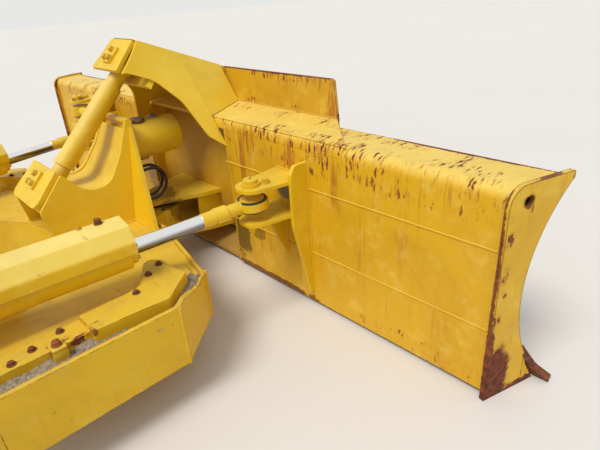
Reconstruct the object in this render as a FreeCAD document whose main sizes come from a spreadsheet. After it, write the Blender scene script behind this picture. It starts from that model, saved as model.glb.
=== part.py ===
"""Dozer blade with its push frame, tower, pitch link and blade cylinders.

All sizes are millimetres. The origin is the middle of the push arms' rear pivot axis,
X points forward to the blade, Y to the left and Z up. Angles are in degrees.
"""
import FreeCAD, Part
import math
import os

V = FreeCAD.Vector
ROT = FreeCAD.Rotation
PLACE = FreeCAD.Placement

doc = FreeCAD.newDocument("dozer_blade")

# Sizes, one row each: alias, value, meaning
SIZES = (
    ("centre_y", 0.0, "mirror plane of the whole assembly"),
    ("ground_z", -320.0, "lowest edge of the end bits"),
    ("back_x", 2550.0, "rear face of the blade's back panels"),
    ("blade_half", 1910.0, "half width between the end plates"),
    ("end_plate_t", 20.0, "end plate thickness"),
    ("end_rear", 18.0, "reach of the end plates behind the back panels"),
    ("end_cant", 16.7, "outward cant of the end plates in degrees"),
    ("blade_top_z", 525.0, "top face of the blade outside the hood"),
    ("sheet_t", 12.0, "back sheet thickness"),
    ("blade_reach", 231.0, "depth of the blade's top from the back panels to its front edge"),
    ("foot_reach", 165.0, "distance of the mouldboard's foot in front of the back panels"),
    ("foot_z", -202.0, "foot of the mouldboard"),
    ("mould_sag", 115.0, "hollow of the mouldboard's curve"),
    ("mould_t", 14.0, "mouldboard thickness"),
    ("pocket_half", 420.0, "half width of the open pocket in the blade's back"),
    ("edge_t", 24.0, "cutting edge thickness"),
    ("bit_length", 400.0, "length of an end bit"),
    ("bit_overhang", 62.0, "reach of an end bit's tip beyond its end plate"),
    ("hood_rear_half", 1260.0, "half width of the hood's ramp at the rear"),
    ("hood_front_half", 990.0, "half width of the hood at its foot"),
    ("hood_taper", 40.0, "narrowing of the hood on each side towards its upper edge"),
    ("hood_rise", 203.0, "height of the hood above the blade's top"),
    ("frame_half", 1138.0, "half width over the push arms"),
    ("arm_inner", 850.0, "inner face of a push arm"),
    ("arm_low_z", -120.0, "underside of the push frame"),
    ("arm_high_z", 130.0, "upper edge of the outer plate"),
    ("deck_z", 82.0, "deck of the push frame"),
    ("front_rim_z", 93.5, "upper edge of the rim where the blade's ears swing over it"),
    ("wall_t", 20.0, "frame plate thickness"),
    ("head_x", 1180.0, "joint between arm and frame head"),
    ("ball_x", 2290.0, "vertical axis of the centre joint"),
    ("ball_z", -40.0, "centre of the ball"),
    ("ball_r", 88.0, "radius of the ball"),
    ("bush_gap", 0.05, "running clearance of a pin in its bore"),
    ("ball_gap", 0.3, "clearance between the ball and its socket"),
    ("tower_t", 22.0, "tower side plate thickness"),
    ("tower_top_z", 565.0, "top of the tower"),
    ("tower_top_half", 117.0, "inner half width of the tower at its top"),
    ("link_low_x", 1790.0, "lower pin of the pitch link, forward"),
    ("link_low_z", 300.0, "lower pin of the pitch link, up"),
    ("link_r", 48.0, "radius of the pitch link's tube"),
    ("link_pin_r", 34.0, "radius of the pitch link's pins"),
    ("angle_y", 906.0, "pin of an angle cylinder on the blade, sideways"),
    ("angle_x", 2324.0, "pin of an angle cylinder on the blade, forward"),
    ("angle_z", 280.0, "middle of the angle cylinder's rod eye"),
    ("base_x", 960.0, "base pin of an angle cylinder, forward"),
    ("base_y", 718.0, "base pin of an angle cylinder, sideways"),
    ("base_z", 230.0, "middle of an angle cylinder's base"),
    ("barrel_r", 75.0, "radius of an angle cylinder's barrel"),
    ("rod_r", 31.0, "radius of an angle cylinder's rod"),
    ("tilt_x", 2334.0, "rod eye of the tilt cylinder, forward"),
    ("tilt_y", 906.0, "rod eye of the tilt cylinder, sideways"),
    ("tilt_z", 450.0, "rod eye of the tilt cylinder, up"),
    ("tube_z", 415.0, "axis of the housing in front of the tower"),
    ("tube_r", 100.0, "radius of the housing in front of the tower"),
)
sheet = doc.addObject("Spreadsheet::Sheet", "Sizes")
SIZE = {}
row_number = 1
for alias, value, meaning in SIZES:
    sheet.set("A%d" % row_number, alias)
    sheet.set("B%d" % row_number, "%g" % value)
    sheet.set("C%d" % row_number, meaning)
    sheet.setAlias("B%d" % row_number, alias)
    SIZE[alias] = value
    row_number += 1
doc.recompute()

PLANE_ROLE = {"XY": "XY_Plane", "XZ": "XZ_Plane", "YZ": "YZ_Plane"}
NODES = []


def keep(shape_object, name):
    """Name a finished sub-part and add it to the ones that are written out."""
    shape_object.Label = name
    NODES.append(shape_object)
    return shape_object


def new_body(name, placement=None):
    """Start a body, turned and moved by placement if one is given."""
    body = doc.addObject("PartDesign::Body", "body_" + name)
    body.Label = "work_" + name
    if placement is not None:
        body.Placement = placement
    return body


def origin_plane(body, plane):
    """Return the body's own origin plane for a plane's short name."""
    for feature in body.Origin.OriginFeatures:
        if getattr(feature, "Role", "") == PLANE_ROLE[plane]:
            return feature
    raise ValueError(plane)


def new_sketch(body, plane, level):
    """Add a sketch on an origin plane, level millimetres along that plane's axis."""
    sketch = body.newObject("Sketcher::SketchObject", body.Name + "_sketch")
    sketch.AttachmentSupport = [(origin_plane(body, plane), "")]
    sketch.MapMode = "FlatFace"
    along = -level if plane == "XZ" else level
    sketch.AttachmentOffset = PLACE(V(0, 0, along), ROT())
    return sketch


def rounded(corners):
    """Turn corners (x, y, radius) of a closed outline into lines and arcs."""
    count = len(corners)
    starts = []
    ends = []
    arcs = []
    for index in range(count):
        x, y, radius = corners[index]
        before = corners[index - 1]
        after = corners[(index + 1) % count]
        here = V(x, y, 0)
        if radius <= 0:
            starts.append(here)
            ends.append(here)
            arcs.append(None)
            continue
        back = (V(before[0], before[1], 0) - here).normalize()
        ahead = (V(after[0], after[1], 0) - here).normalize()
        half = back.getAngle(ahead) / 2
        reach = radius / math.tan(half)
        first = here + back * reach
        last = here + ahead * reach
        middle_way = (back + ahead).normalize()
        centre = here + middle_way * (radius / math.sin(half))
        middle = centre - middle_way * radius
        starts.append(first)
        ends.append(last)
        arcs.append((first, middle, last))
    pieces = []
    for index in range(count):
        if arcs[index]:
            pieces.append(Part.Arc(*arcs[index]))
        following = starts[(index + 1) % count]
        if (following - ends[index]).Length > 1e-6:
            pieces.append(Part.LineSegment(ends[index], following))
    return pieces


def finish_pad(body, sketch, plane, size, alias, cut):
    """Pad or pocket a sketch by a size, bound to the alias when one is given."""
    kind = "PartDesign::Pocket" if cut else "PartDesign::Pad"
    feature = body.newObject(kind, body.Name + ("_cut" if cut else "_pad"))
    feature.Profile = sketch
    feature.Length = size
    if alias:
        feature.setExpression("Length", alias)
    feature.Reversed = bool(cut) != (plane == "XZ")
    body.Tip = feature
    return feature


def slab(body, plane, corners, low, size, alias="", cut=False):
    """Pad or cut a closed outline from a level, size millimetres up its axis."""
    sketch = new_sketch(body, plane, low)
    sketch.addGeometry(rounded(corners), False)
    return finish_pad(body, sketch, plane, size, alias, cut)


def disc(body, plane, x, y, radius, low, size, alias="", cut=False):
    """Pad or cut a circle from a level, size millimetres up its axis."""
    sketch = new_sketch(body, plane, low)
    sketch.addGeometry(Part.Circle(V(x, y, 0), V(0, 0, 1), radius), False)
    return finish_pad(body, sketch, plane, size, alias, cut)


def mould_curve():
    """Centre, radius and end angles of the mouldboard's front face, from its top to its foot."""
    top = V(SIZE["back_x"] + SIZE["blade_reach"] - 1, SIZE["blade_top_z"] - SIZE["sheet_t"], 0)
    foot = V(SIZE["back_x"] + SIZE["foot_reach"], SIZE["foot_z"], 0)
    chord = (foot - top).Length
    sag = SIZE["mould_sag"]
    radius = (chord * chord / 4 + sag * sag) / (2 * sag)
    along = (foot - top).normalize()
    inward = V(-along.y, along.x, 0)
    centre = (top + foot) * 0.5 + inward * (radius - sag)
    start = math.degrees(math.atan2(top.y - centre.y, top.x - centre.x)) % 360
    stop = math.degrees(math.atan2(foot.y - centre.y, foot.x - centre.x)) % 360
    return centre, radius, start, stop


def arc_band(body, start, stop, inner, outer, low, size, cut=False):
    """Pad a band between two arcs about the mouldboard's centre, angles in degrees."""
    sketch = new_sketch(body, "XZ", low)
    centre = mould_curve()[0]
    a, b = math.radians(start), math.radians(stop)
    near = Part.Circle(centre, V(0, 0, 1), inner)
    far = Part.Circle(centre, V(0, 0, 1), outer)
    sketch.addGeometry(Part.ArcOfCircle(near, a, b), False)
    sketch.addGeometry(Part.ArcOfCircle(far, a, b), False)
    for angle in (a, b):
        way = V(math.cos(angle), math.sin(angle), 0)
        sketch.addGeometry(Part.LineSegment(centre + way * inner, centre + way * outer), False)
    return finish_pad(body, sketch, "XZ", size, "", cut)


def mirror(source, name, placed=True):
    """Make the left-hand twin of a right-hand sub-part."""
    twin = doc.addObject("Part::Mirroring", "twin_" + name)
    twin.Source = source
    twin.Normal = V(0, 1, 0)
    twin.setExpression(".Base.y", "Sizes.centre_y")
    if placed:
        keep(twin, name)
    return twin


def pair(source, name):
    """Keep a sub-part and its mirror twin as one node."""
    both = doc.addObject("Part::Compound", "both_" + name)
    both.Links = [source, mirror(source, "work_twin_" + name, False)]
    return keep(both, name)


def trim(base, tool, name):
    """Cut one solid by another and return what is left."""
    result = doc.addObject("Part::Cut", "trim_" + name)
    result.Base = base
    result.Tool = tool
    return result


def inset(corners, distance):
    """Move every edge of a closed anticlockwise outline inwards by a distance."""
    count = len(corners)
    moved = []
    for index in range(count):
        x, y, radius = corners[index]
        bx, by, _ = corners[index - 1]
        ax, ay, _ = corners[(index + 1) % count]
        first = V(x - bx, y - by, 0).normalize()
        second = V(ax - x, ay - y, 0).normalize()
        normal_1 = V(-first.y, first.x, 0)
        normal_2 = V(-second.y, second.x, 0)
        scale = distance / (1 + normal_1.dot(normal_2))
        shift = (normal_1 + normal_2) * scale
        turn = first.x * second.y - first.y * second.x
        new_radius = 0
        if radius > 0:
            new_radius = max(radius - distance, 1) if turn > 0 else radius + distance
        moved.append((x + shift.x, y + shift.y, new_radius))
    return moved


def head_outline():
    """Plan of the frame head: two chamfered corners round a U-shaped opening."""
    half, rear = SIZE["frame_half"], SIZE["head_x"]
    corner_x, corner_y = 2015, 952
    front_x, front_y = 2130, 440
    nose_x, nose_y = 2165, 230
    side_x = 1790
    u_front, u_half, u_r = 1720, 500, 498
    inner = SIZE["arm_inner"]
    right = [(rear, -half, 0), (side_x, -half, 20), (corner_x, -corner_y, 20),
             (front_x, -front_y, 60), (nose_x, -nose_y, 0)]
    left = [(x, -y, r) for x, y, r in reversed(right)]
    opening = [(rear, inner, 0), (rear + 60, inner - 60, 0), (rear + 60, u_half, 40),
               (u_front, u_half, u_r), (u_front, -u_half, u_r),
               (rear + 60, -u_half, 40), (rear + 60, -inner + 60, 0), (rear, -inner, 0)]
    return right + left + opening


def frame_head():
    """U-shaped front of the push frame: a hollow box with a rim round its deck."""
    outline = head_outline()
    low, high, deck, wall = (SIZE[k] for k in ("arm_low_z", "arm_high_z", "deck_z", "wall_t"))
    body = new_body("frame_head")
    slab(body, "XY", outline, low, high - low, "Sizes.arm_high_z - Sizes.arm_low_z")
    half = SIZE["frame_half"] - wall
    front = [(1000, -half, 0), (1782, -half, 12), (2000, -938, 12), (2112, -440, 50),
             (2146, -220, 0)]
    recess = front + [(x, -y, r) for x, y, r in reversed(front)]
    slab(body, "XY", recess, deck, high - deck + 5, cut=True)
    slab(body, "XY", inset(outline, wall), low - 1, deck - low - wall + 1, cut=True)
    rim = SIZE["front_rim_z"]
    slab(body, "XZ", [(1830, high, 0), (1920, rim, 40), (2300, rim, 0), (2300, high + 20, 0),
                      (1850, high + 20, 0)], -half - 40, 2 * half + 80, cut=True)
    keep(body, "frame_head")
    belly = new_body("belly_plate")
    slab(belly, "XY", inset(outline, wall), low, 14)
    keep(belly, "belly_plate")


def push_arm():
    """Straight box arm from the rear pivot to the frame head."""
    half, inner = SIZE["frame_half"], SIZE["arm_inner"]
    low, high, deck, wall = (SIZE[k] for k in ("arm_low_z", "arm_high_z", "deck_z", "wall_t"))
    rear, front = 130, SIZE["head_x"]
    body = new_body("push_arm_right")
    section = [(-half, low, 0), (-inner, low, 0), (-inner, deck, 0),
               (-half + wall, deck, 0), (-half + wall, high, 0), (-half, high, 0)]
    slab(body, "YZ", section, rear, front - rear, "Sizes.head_x - %g" % rear)
    hollow = [(-half + wall, low + wall, 8), (-inner - wall, low + wall, 8),
              (-inner - wall, deck - wall, 8), (-half + wall, deck - wall, 8)]
    slab(body, "YZ", hollow, rear + 30, front - rear, cut=True)
    slope = [(rear - 5, high + 5, 0), (rear - 5, 60, 0), (rear + 160, high + 5, 0)]
    slab(body, "XZ", slope, -half - 5, half - inner + 10, cut=True)
    keep(body, "push_arm_right")
    mirror(body, "push_arm_left")


def trunnion_eye():
    """Forged eye at the rear of an arm, bored for the tractor's pivot."""
    eye_r, bore_r = 112, 45
    low_y, width = -1084, 180
    body = new_body("trunnion_eye_right")
    disc(body, "XZ", 0, 0, eye_r, low_y, width)
    shank = [(0, -90, 0), (130, -104, 0), (130, 56, 0), (60, 80, 0), (0, 90, 0)]
    slab(body, "XZ", shank, low_y, width)
    disc(body, "XZ", 0, 0, bore_r, low_y - 5, width + 10, cut=True)
    pair(body, "trunnion_eyes")


TOWER_SPLAY = 10.2
TOWER_LEAN = 13.0
TOWER_FOOT_X = 2096


def tower_front_x(z):
    """Forward position of the tower's sloping front edge at a height."""
    return TOWER_FOOT_X + (z - SIZE["deck_z"]) * math.tan(math.radians(TOWER_LEAN))


def link_frame(x, z):
    """Placement whose X runs up along the pitch link and whose Z is its pin's axis."""
    return PLACE(V(x, 0, z), ROT(V(0, 1, 0), -45))


def tower():
    """Splayed side plates, webs and rear plate that carry the pitch link."""
    top, deck, t = SIZE["tower_top_z"], SIZE["deck_z"], SIZE["tower_t"]
    flat = math.cos(math.radians(TOWER_SPLAY))
    rise = lambda z: (z - top) / flat
    rear_low, rear_high = (1665, 255), (1803, 393)
    outline = [
        (tower_front_x(top) - 2, rise(top), 12), (tower_front_x(top) - 34, rise(top), 12),
        (2105, rise(420), 90), (2010, rise(284), 110), (1890, rise(284), 110),
        (rear_high[0], rise(rear_high[1]), 8), (rear_low[0], rise(rear_low[1]), 30),
        (1700, rise(deck) - 12, 0), (tower_front_x(deck) - 2, rise(deck) - 12, 0)]
    turned = PLACE(V(0, -SIZE["tower_top_half"], top), ROT(V(1, 0, 0), -TOWER_SPLAY))
    plate = new_body("tower_plate", turned)
    slab(plate, "XZ", outline, -t, t, "Sizes.tower_t")
    block = doc.addObject("Part::Box", "below_deck")
    block.Length, block.Width, block.Height = 1200, 3000, 300
    block.Placement = PLACE(V(1300, -1500, deck - 300), ROT())
    block.setExpression(".Placement.Base.z", "Sizes.deck_z - 300")
    side = trim(plate, block, "tower_plate_right")
    keep(side, "tower_plate_right")
    mirror(side, "tower_plate_left")

    space = new_body("tower_space")
    wide = lambda z: SIZE["tower_top_half"] + (top - z) * math.tan(math.radians(TOWER_SPLAY))
    room = [(-wide(deck), deck, 0), (wide(deck), deck, 0), (wide(600), 600, 0), (-wide(600), 600, 0)]
    slab(space, "YZ", room, 1500, 900)

    def between(body, name):
        """Keep the part of a body that lies between the tower's side plates."""
        shared = doc.addObject("Part::Common", "between_" + name)
        shared.Base = body
        shared.Tool = space
        return keep(shared, name)

    web = new_body("tower_saddle")
    low_edge = [(1889, 262, 0), (2020, 262, 100), (2120, 405, 80), (2172, 518, 0)]
    high_edge = [(2158, 526, 0), (2104, 412, 95), (2012, 280, 85), (1889, 280, 0)]
    slab(web, "XZ", low_edge + high_edge, -260, 520)
    between(web, "tower_saddle")

    front = new_body("tower_front", PLACE(V(TOWER_FOOT_X, 0, deck), ROT(V(0, 1, 0), TOWER_LEAN)))
    high = (top - 20 - deck) / math.cos(math.radians(TOWER_LEAN))
    slab(front, "YZ", [(-260, 0, 0), (260, 0, 0), (260, high, 0), (-260, high, 0)], -20, 20)
    between(trim(front, block, "tower_front"), "tower_front")

    cap = new_body("tower_cap")
    slab(cap, "XZ", [(2165, top - 14, 0), (tower_front_x(top) - 6, top - 14, 0),
                     (tower_front_x(top) - 6, top, 4), (2165, top, 4)], -260, 520)
    between(cap, "tower_cap")

    seat = new_body("link_seat", link_frame(SIZE["link_low_x"], SIZE["link_low_z"]))
    slab(seat, "XY", [(-150, -260, 0), (52, -260, 0), (52, 260, 0), (-150, 260, 0)], -82, 22)
    disc(seat, "XY", 0, 0, SIZE["link_pin_r"] + SIZE["bush_gap"], -90, 40, cut=True)
    between(seat, "link_seat")

    rear = new_body("tower_rear", link_frame(SIZE["link_low_x"], SIZE["link_low_z"]))
    low_half, high_half = 168, 146
    slab(rear, "XY", [(-118, -low_half, 40), (78, -high_half, 12), (78, high_half, 12),
                      (-118, low_half, 40)], 57, 22)
    disc(rear, "XY", 0, 0, SIZE["link_pin_r"] + SIZE["bush_gap"], 50, 40, cut=True)
    keep(rear, "tower_rear")

    pin = new_body("link_low_pin", link_frame(SIZE["link_low_x"], SIZE["link_low_z"]))
    disc(pin, "XY", 0, 0, SIZE["link_pin_r"], -88, 180)
    slab(pin, "XY", [(-46, -44, 8), (46, -44, 8), (46, 44, 8), (-46, 44, 8)], 79, 13)
    keep(pin, "link_low_pin")
    return block


def wing_gussets(block):
    """Triangular plates that brace the tower's front edges down to the deck."""
    deck = SIZE["deck_z"]
    lean = PLACE(V(TOWER_FOOT_X, 0, deck), ROT(V(0, 1, 0), TOWER_LEAN))
    body = new_body("wing_gusset", lean)
    high = 455
    corners = [(-440, 0, 0), (-120, 0, 0), (-120, high, 0), (-150, high, 10)]
    slab(body, "YZ", corners, -20, 18)
    clear = trim(trim(body, block, "wing_low"), doc.getObject("trim_tower_plate_right"), "wing")
    slim = trim(clear, doc.getObject("between_tower_front"), "wing_side")
    swing_room = new_body("swing_room")
    slab(swing_room, "XY", [(2000, -500, 0), (2400, -500, 0), (2400, -100, 0), (2000, -100, 0)], 335, 400)
    low = trim(slim, swing_room, "wing_short")
    both = doc.addObject("Part::Compound", "both_wing")
    both.Links = [slim, mirror(low, "work_wing_left", False)]
    keep(both, "wing_gussets")


def tilt_housing():
    """Tube in front of the tower that holds the tilt cylinder's base pin."""
    x, z, r = SIZE["ball_x"], SIZE["tube_z"], SIZE["tube_r"]
    wall, rear, front = 16, 2120, 2490
    body = new_body("tilt_housing")
    disc(body, "YZ", 0, z, r, rear, front - rear)
    disc(body, "YZ", 0, z, r - wall, 2186, front - 2186 - 14, cut=True)
    slot_low, slot_high = z - 62, z + 70
    slab(body, "YZ", [(20, slot_low, 8), (140, slot_low, 8), (140, slot_high, 8), (20, slot_high, 8)],
         2188, 280, cut=True)
    disc(body, "XY", x, 0, 30 + SIZE["bush_gap"], z - r - 20, 2 * r + 60, cut=True)
    after = trim(body, doc.getObject("between_tower_front"), "tube_rear")
    inner = new_body("tube_keep")
    slab(inner, "XZ", [(tower_front_x(90), 90, 0), (2600, 90, 0), (2600, 600, 0),
                       (tower_front_x(600), 600, 0)], -300, 600)
    shared = doc.addObject("Part::Common", "tube_common")
    shared.Base = after
    shared.Tool = inner
    keep(shared, "tilt_housing")

    pin = new_body("tilt_base_pin")
    disc(pin, "XY", x, 0, 30, z - r - 6, 2 * r + 14)
    disc(pin, "XY", x, 0, 44, z + r, 14)
    keep(pin, "tilt_base_pin")


def tower_hoses():
    """Two hydraulic hoses that loop forward from the tower's front, with their end fittings."""
    z_high, bend, r, fitting = 289, 84, 8, 13
    bend_x = 2262
    group = []
    for index, y in enumerate((-62, -104)):
        level = z_high - 8 * index
        parts = []
        for z in (level, level - 2 * bend):
            run = doc.addObject("Part::Cylinder", "hose_run")
            run.Radius, run.Height = r, 220
            run.Placement = PLACE(V(bend_x - 220, y, z), ROT(V(0, 1, 0), 90))
            end = doc.addObject("Part::Cylinder", "hose_fitting")
            end.Radius, end.Height = fitting, 142
            end.Placement = PLACE(V(bend_x - 220, y, z), ROT(V(0, 1, 0), 90))
            parts += [run, end]
        curve = doc.addObject("Part::Torus", "hose_bend")
        curve.Radius1, curve.Radius2 = bend, r
        curve.Angle3 = 180
        curve.Placement = PLACE(V(bend_x, y, level - bend), ROT(V(1, 0, 0), 90).multiply(ROT(V(0, 0, 1), -90)))
        hose = doc.addObject("Part::MultiFuse", "hose_whole")
        hose.Shapes = parts + [curve]
        shared = doc.addObject("Part::Common", "hose_in_front")
        shared.Base = hose
        shared.Tool = doc.getObject("body_tube_keep")
        group.append(shared)
    both = doc.addObject("Part::Compound", "both_hoses")
    both.Links = group
    keep(both, "tower_hoses")


def ball_socket():
    """Housing at the frame's nose that holds the ball of the centre joint."""
    x, z, nose = SIZE["ball_x"], SIZE["ball_z"], 2165
    ring_r, half = 142, 70
    body = new_body("ball_socket")
    disc(body, "XY", x, 0, ring_r, z - half, 2 * half)
    neck = [(nose, -205, 0), (x, -ring_r + 6, 0), (x, ring_r - 6, 0), (nose, 205, 0)]
    slab(body, "XY", neck, z - half, 2 * half)
    slab(body, "XY", [(nose - 60, -300, 0), (nose, -300, 0), (nose, 300, 0), (nose - 60, 300, 0)],
         z - half - 5, 2 * half + 10, cut=True)
    ball = doc.addObject("Part::Sphere", "socket_ball")
    ball.Placement = PLACE(V(x, 0, z), ROT())
    ball.setExpression("Radius", "Sizes.ball_r + Sizes.ball_gap")
    keep(trim(body, ball, "ball_socket"), "ball_socket")

    core = doc.addObject("Part::Sphere", "ball_core")
    core.Placement = PLACE(V(x, 0, z), ROT())
    core.setExpression("Radius", "Sizes.ball_r")
    slice_body = new_body("ball_slice")
    disc(slice_body, "XY", x, 0, 120, z - 78, 156)
    disc(slice_body, "XY", x, 0, 40, z - 100, 200, cut=True)
    both = doc.addObject("Part::Common", "ball_common")
    both.Base = core
    both.Tool = slice_body
    keep(both, "centre_ball")
    pin = new_body("centre_pin")
    disc(pin, "XY", x, 0, 40, z - 128, 256)
    keep(pin, "centre_pin")


def hose_cover():
    """Bolted cover over the hoses on an arm's deck, with a low lip in front and inboard."""
    deck = SIZE["deck_z"]
    low, high = 13, 66
    body = new_body("hose_cover_right")
    plan = [(1190, -1040, 0), (1516, -1040, 0), (1516, -1062, 6), (1786, -1086, 20),
            (1925, -972, 14), (1906, -912, 8), (1905, -815, 12), (1872, -768, 24), (1838, -790, 10),
            (1750, -928, 40), (1690, -938, 30), (1190, -938, 0)]
    slab(body, "XY", plan, deck, high)
    groove = [(1180, -1070, 0), (1516, -1070, 0), (1516, -900, 0), (1180, -900, 0)]
    slab(body, "XY", groove, deck + high - 14, 30, cut=True)
    lip = [(1190, -940, 0), (1690, -940, 0), (1750, -930, 0), (1836, -792, 0), (1870, -770, 0),
           (1900, -815, 0), (1925, -972, 0), (1972, -936, 10), (1996, -830, 10), (1935, -786, 20),
           (1875, -748, 40), (1800, -782, 20), (1760, -842, 0), (1190, -842, 0)]
    slab(body, "XY", lip, deck, low)
    pair(body, "hose_covers")


def base_bracket():
    """Ears on the arm's inner wall that hold an angle cylinder's base pin."""
    x, y, z = SIZE["base_x"], -SIZE["base_y"], SIZE["base_z"]
    gap = 66
    body = new_body("base_bracket_right")
    ear = [(x - 150, -960, 0), (x + 66, -960, 0), (x + 62, y, 0), (x + 62, y + 62, 60),
           (x - 62, y + 62, 60), (x - 62, y, 0)]
    slab(body, "XY", ear, z - gap - 22, 22)
    slab(body, "XY", ear, z + gap, 22)
    slab(body, "XY", [(x - 150, -960, 0), (x + 66, -960, 0), (x + 66, -925, 0), (x - 142, -925, 0)],
         z - gap - 22, 2 * gap + 44)
    foot_low = SIZE["deck_z"]
    slab(body, "XY", [(x - 150, -960, 0), (x + 66, -960, 0), (x + 66, -852, 0), (x - 140, -852, 0)],
         foot_low, z - gap - 22 - foot_low + 1)
    disc(body, "XY", x, y, 30 + SIZE["bush_gap"], z - 200, 400, cut=True)
    pair(body, "base_brackets")
    pin = new_body("base_pins")
    disc(pin, "XY", x, y, 30, z - gap - 30, 2 * gap + 60)
    disc(pin, "XY", x, y, 44, z + gap + 22, 14)
    pair(pin, "base_pins")


def lift_lugs():
    """Pairs of ears on the deck for the tractor's lift cylinders."""
    deck = SIZE["deck_z"]
    x, z, bore = 1330, deck + 95, 30
    body = new_body("lift_lug")
    shape = [(x - 90, deck, 0), (x + 90, deck, 0), (x + 50, z + 50, 48), (x - 50, z + 50, 48)]
    slab(body, "XZ", shape, -562, 18)
    slab(body, "XZ", shape, -640, 18)
    slab(body, "XY", [(x - 90, -640, 0), (x + 90, -640, 0), (x + 90, -544, 0), (x - 90, -544, 0)],
         deck, 12)
    disc(body, "XZ", x, z, bore, -720, 200, cut=True)
    pair(body, "lift_lugs")


def end_frame():
    """Placement at the right end plate's inner rear edge, its X along the canted plate."""
    edge = V(SIZE["back_x"] - SIZE["end_rear"], -SIZE["blade_half"], 0)
    return PLACE(edge, ROT(V(0, 0, 1), -SIZE["end_cant"]))


def beyond_ends():
    """Room outside both end plates' inner faces, which ends whatever runs across the blade."""
    right = new_body("beyond_right", end_frame())
    slab(right, "XZ", [(-200, -600, 0), (700, -600, 0), (700, 900, 0), (-200, 900, 0)], -600, 600)
    both = doc.addObject("Part::Compound", "beyond_both")
    both.Links = [right, mirror(right, "beyond_left", False)]
    return right, both


def blade_panels():
    """Back sheets, mouldboard, closing rails and end plates of the blade."""
    back, top, t = SIZE["back_x"], SIZE["blade_top_z"], SIZE["sheet_t"]
    half, pocket = SIZE["blade_half"], SIZE["pocket_half"]
    front, foot_x, foot_z = back + SIZE["blade_reach"], back + SIZE["foot_reach"], SIZE["foot_z"]
    panel_low = foot_z - 88
    full = half + 200
    beyond_right, beyond = beyond_ends()
    panel = new_body("back_panel_right")
    path = [(back, panel_low, 0), (back + t, panel_low, 0), (back + t, top - t, 34),
            (front, top - t, 0), (front, top, 0), (back, top, 46)]
    slab(panel, "XZ", path, -full, full - pocket)
    side = keep(trim(panel, beyond_right, "back_panel_right"), "back_panel_right")
    mirror(side, "back_panel_left")

    top_plate = new_body("pocket_top")
    slab(top_plate, "XZ", [(back + 15, top - t, 0), (front, top - t, 0), (front, top, 0),
                           (back + 15, top, 0)],
         -pocket, 2 * pocket, "2 * Sizes.pocket_half")
    keep(top_plate, "pocket_top")

    centre, inner, start, stop = mould_curve()
    outer = inner + SIZE["mould_t"]
    mould = new_body("mouldboard")
    arc_band(mould, start - 1.5, stop, inner, outer, -full, 2 * full)
    slab(mould, "XZ", [(back, top - t, 0), (front + 200, top - t, 0), (front + 200, top + 80, 0),
                       (back, top + 80, 0)],
         -full - 5, 2 * full + 10, cut=True)
    board = keep(trim(mould, beyond, "mouldboard"), "mouldboard")

    clear = new_body("mould_room")
    arc_band(clear, start - 20, stop + 30, 1, outer, -full - 90, 2 * full + 180)
    rail = new_body("bottom_rail")
    slab(rail, "XZ", [(back + t, panel_low, 0), (foot_x + 27, foot_z - 23, 0),
                      (foot_x + 20, foot_z - 10, 0), (back + t, panel_low + 14, 0)],
         -full, 2 * full)
    keep(trim(trim(rail, clear, "rail_front"), beyond, "bottom_rail"), "bottom_rail")

    rib = new_body("pocket_rib")
    slab(rib, "XZ", [(back + t, panel_low + 20, 0), (foot_x + 45, foot_z + 2, 0), (front - 21, top - t, 0),
                     (back + t, top - t, 0)],
         -pocket, 14)
    pair(trim(rib, clear, "pocket_rib"), "pocket_ribs")

    plate = new_body("end_plate_right", end_frame())
    cant = math.cos(math.radians(SIZE["end_cant"]))
    along = lambda x: (x - back + SIZE["end_rear"]) / cant
    shape = [(0, panel_low - 24, 0), (along(foot_x + 60), panel_low - 24, 0),
             (along(foot_x + 7), foot_z - 13, 0), (along(foot_x + 7), foot_z + 52, 0),
             (along(front + 19), top - 85, 0), (along(front + 19), top + 14, 4), (0, top + 14, 70)]
    slab(plate, "XZ", shape, -SIZE["end_plate_t"], SIZE["end_plate_t"], "Sizes.end_plate_t")
    disc(plate, "XZ", along(back + 62), top - 47, 20, -60, 100, cut=True)
    hollow = new_body("plate_hollow")
    disc(hollow, "XZ", centre.x, centre.y, inner - 10, -full - 90, 300)
    return clear, board, trim(plate, hollow, "plate_front")


def cutting_edges(mould, plate):
    """Bolted wear plates along the foot of the mouldboard, and the end plates cut round them."""
    foot = V(SIZE["back_x"] + SIZE["foot_reach"], 0, SIZE["foot_z"])
    lean = PLACE(foot, ROT(V(0, 1, 0), 180 - mould_curve()[3]))
    low, high, t = -128, 62, SIZE["edge_t"]
    cant = math.radians(SIZE["end_cant"])
    tip_x = SIZE["end_rear"] + SIZE["foot_reach"] + 45
    plate_y = SIZE["blade_half"] + tip_x * math.tan(cant) + SIZE["end_plate_t"] / math.cos(cant)
    reach = plate_y + SIZE["bit_overhang"]
    edge_half = reach - SIZE["bit_length"] - 2
    edge = new_body("cutting_edge", lean)
    slab(edge, "XZ", [(0, low + 18, 0), (t, low + 30, 0), (t, high, 4), (0, high, 4)],
         -edge_half, 2 * edge_half)
    keep(trim(edge, mould, "cutting_edge"), "cutting_edge")
    bit = new_body("end_bit", lean)
    slab(bit, "XZ", [(0, low, 0), (t + 6, low + 6, 0), (t + 4, high, 4), (0, high, 4)],
         -reach, SIZE["bit_length"], "Sizes.bit_length")
    sweep = SIZE["bit_overhang"] + 28
    slab(bit, "YZ", [(-reach - 5, low + 14, 0), (-reach, low + 14, 0), (-reach + sweep * 0.6, low + 60, 60),
                     (-reach + sweep, high + 5, 0), (-reach - 5, high + 5, 0)], -20, 80, cut=True)
    pair(trim(bit, mould, "end_bit"), "end_bits")
    side = keep(trim(plate, bit, "end_plate"), "end_plate_right")
    mirror(side, "end_plate_left")


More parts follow.
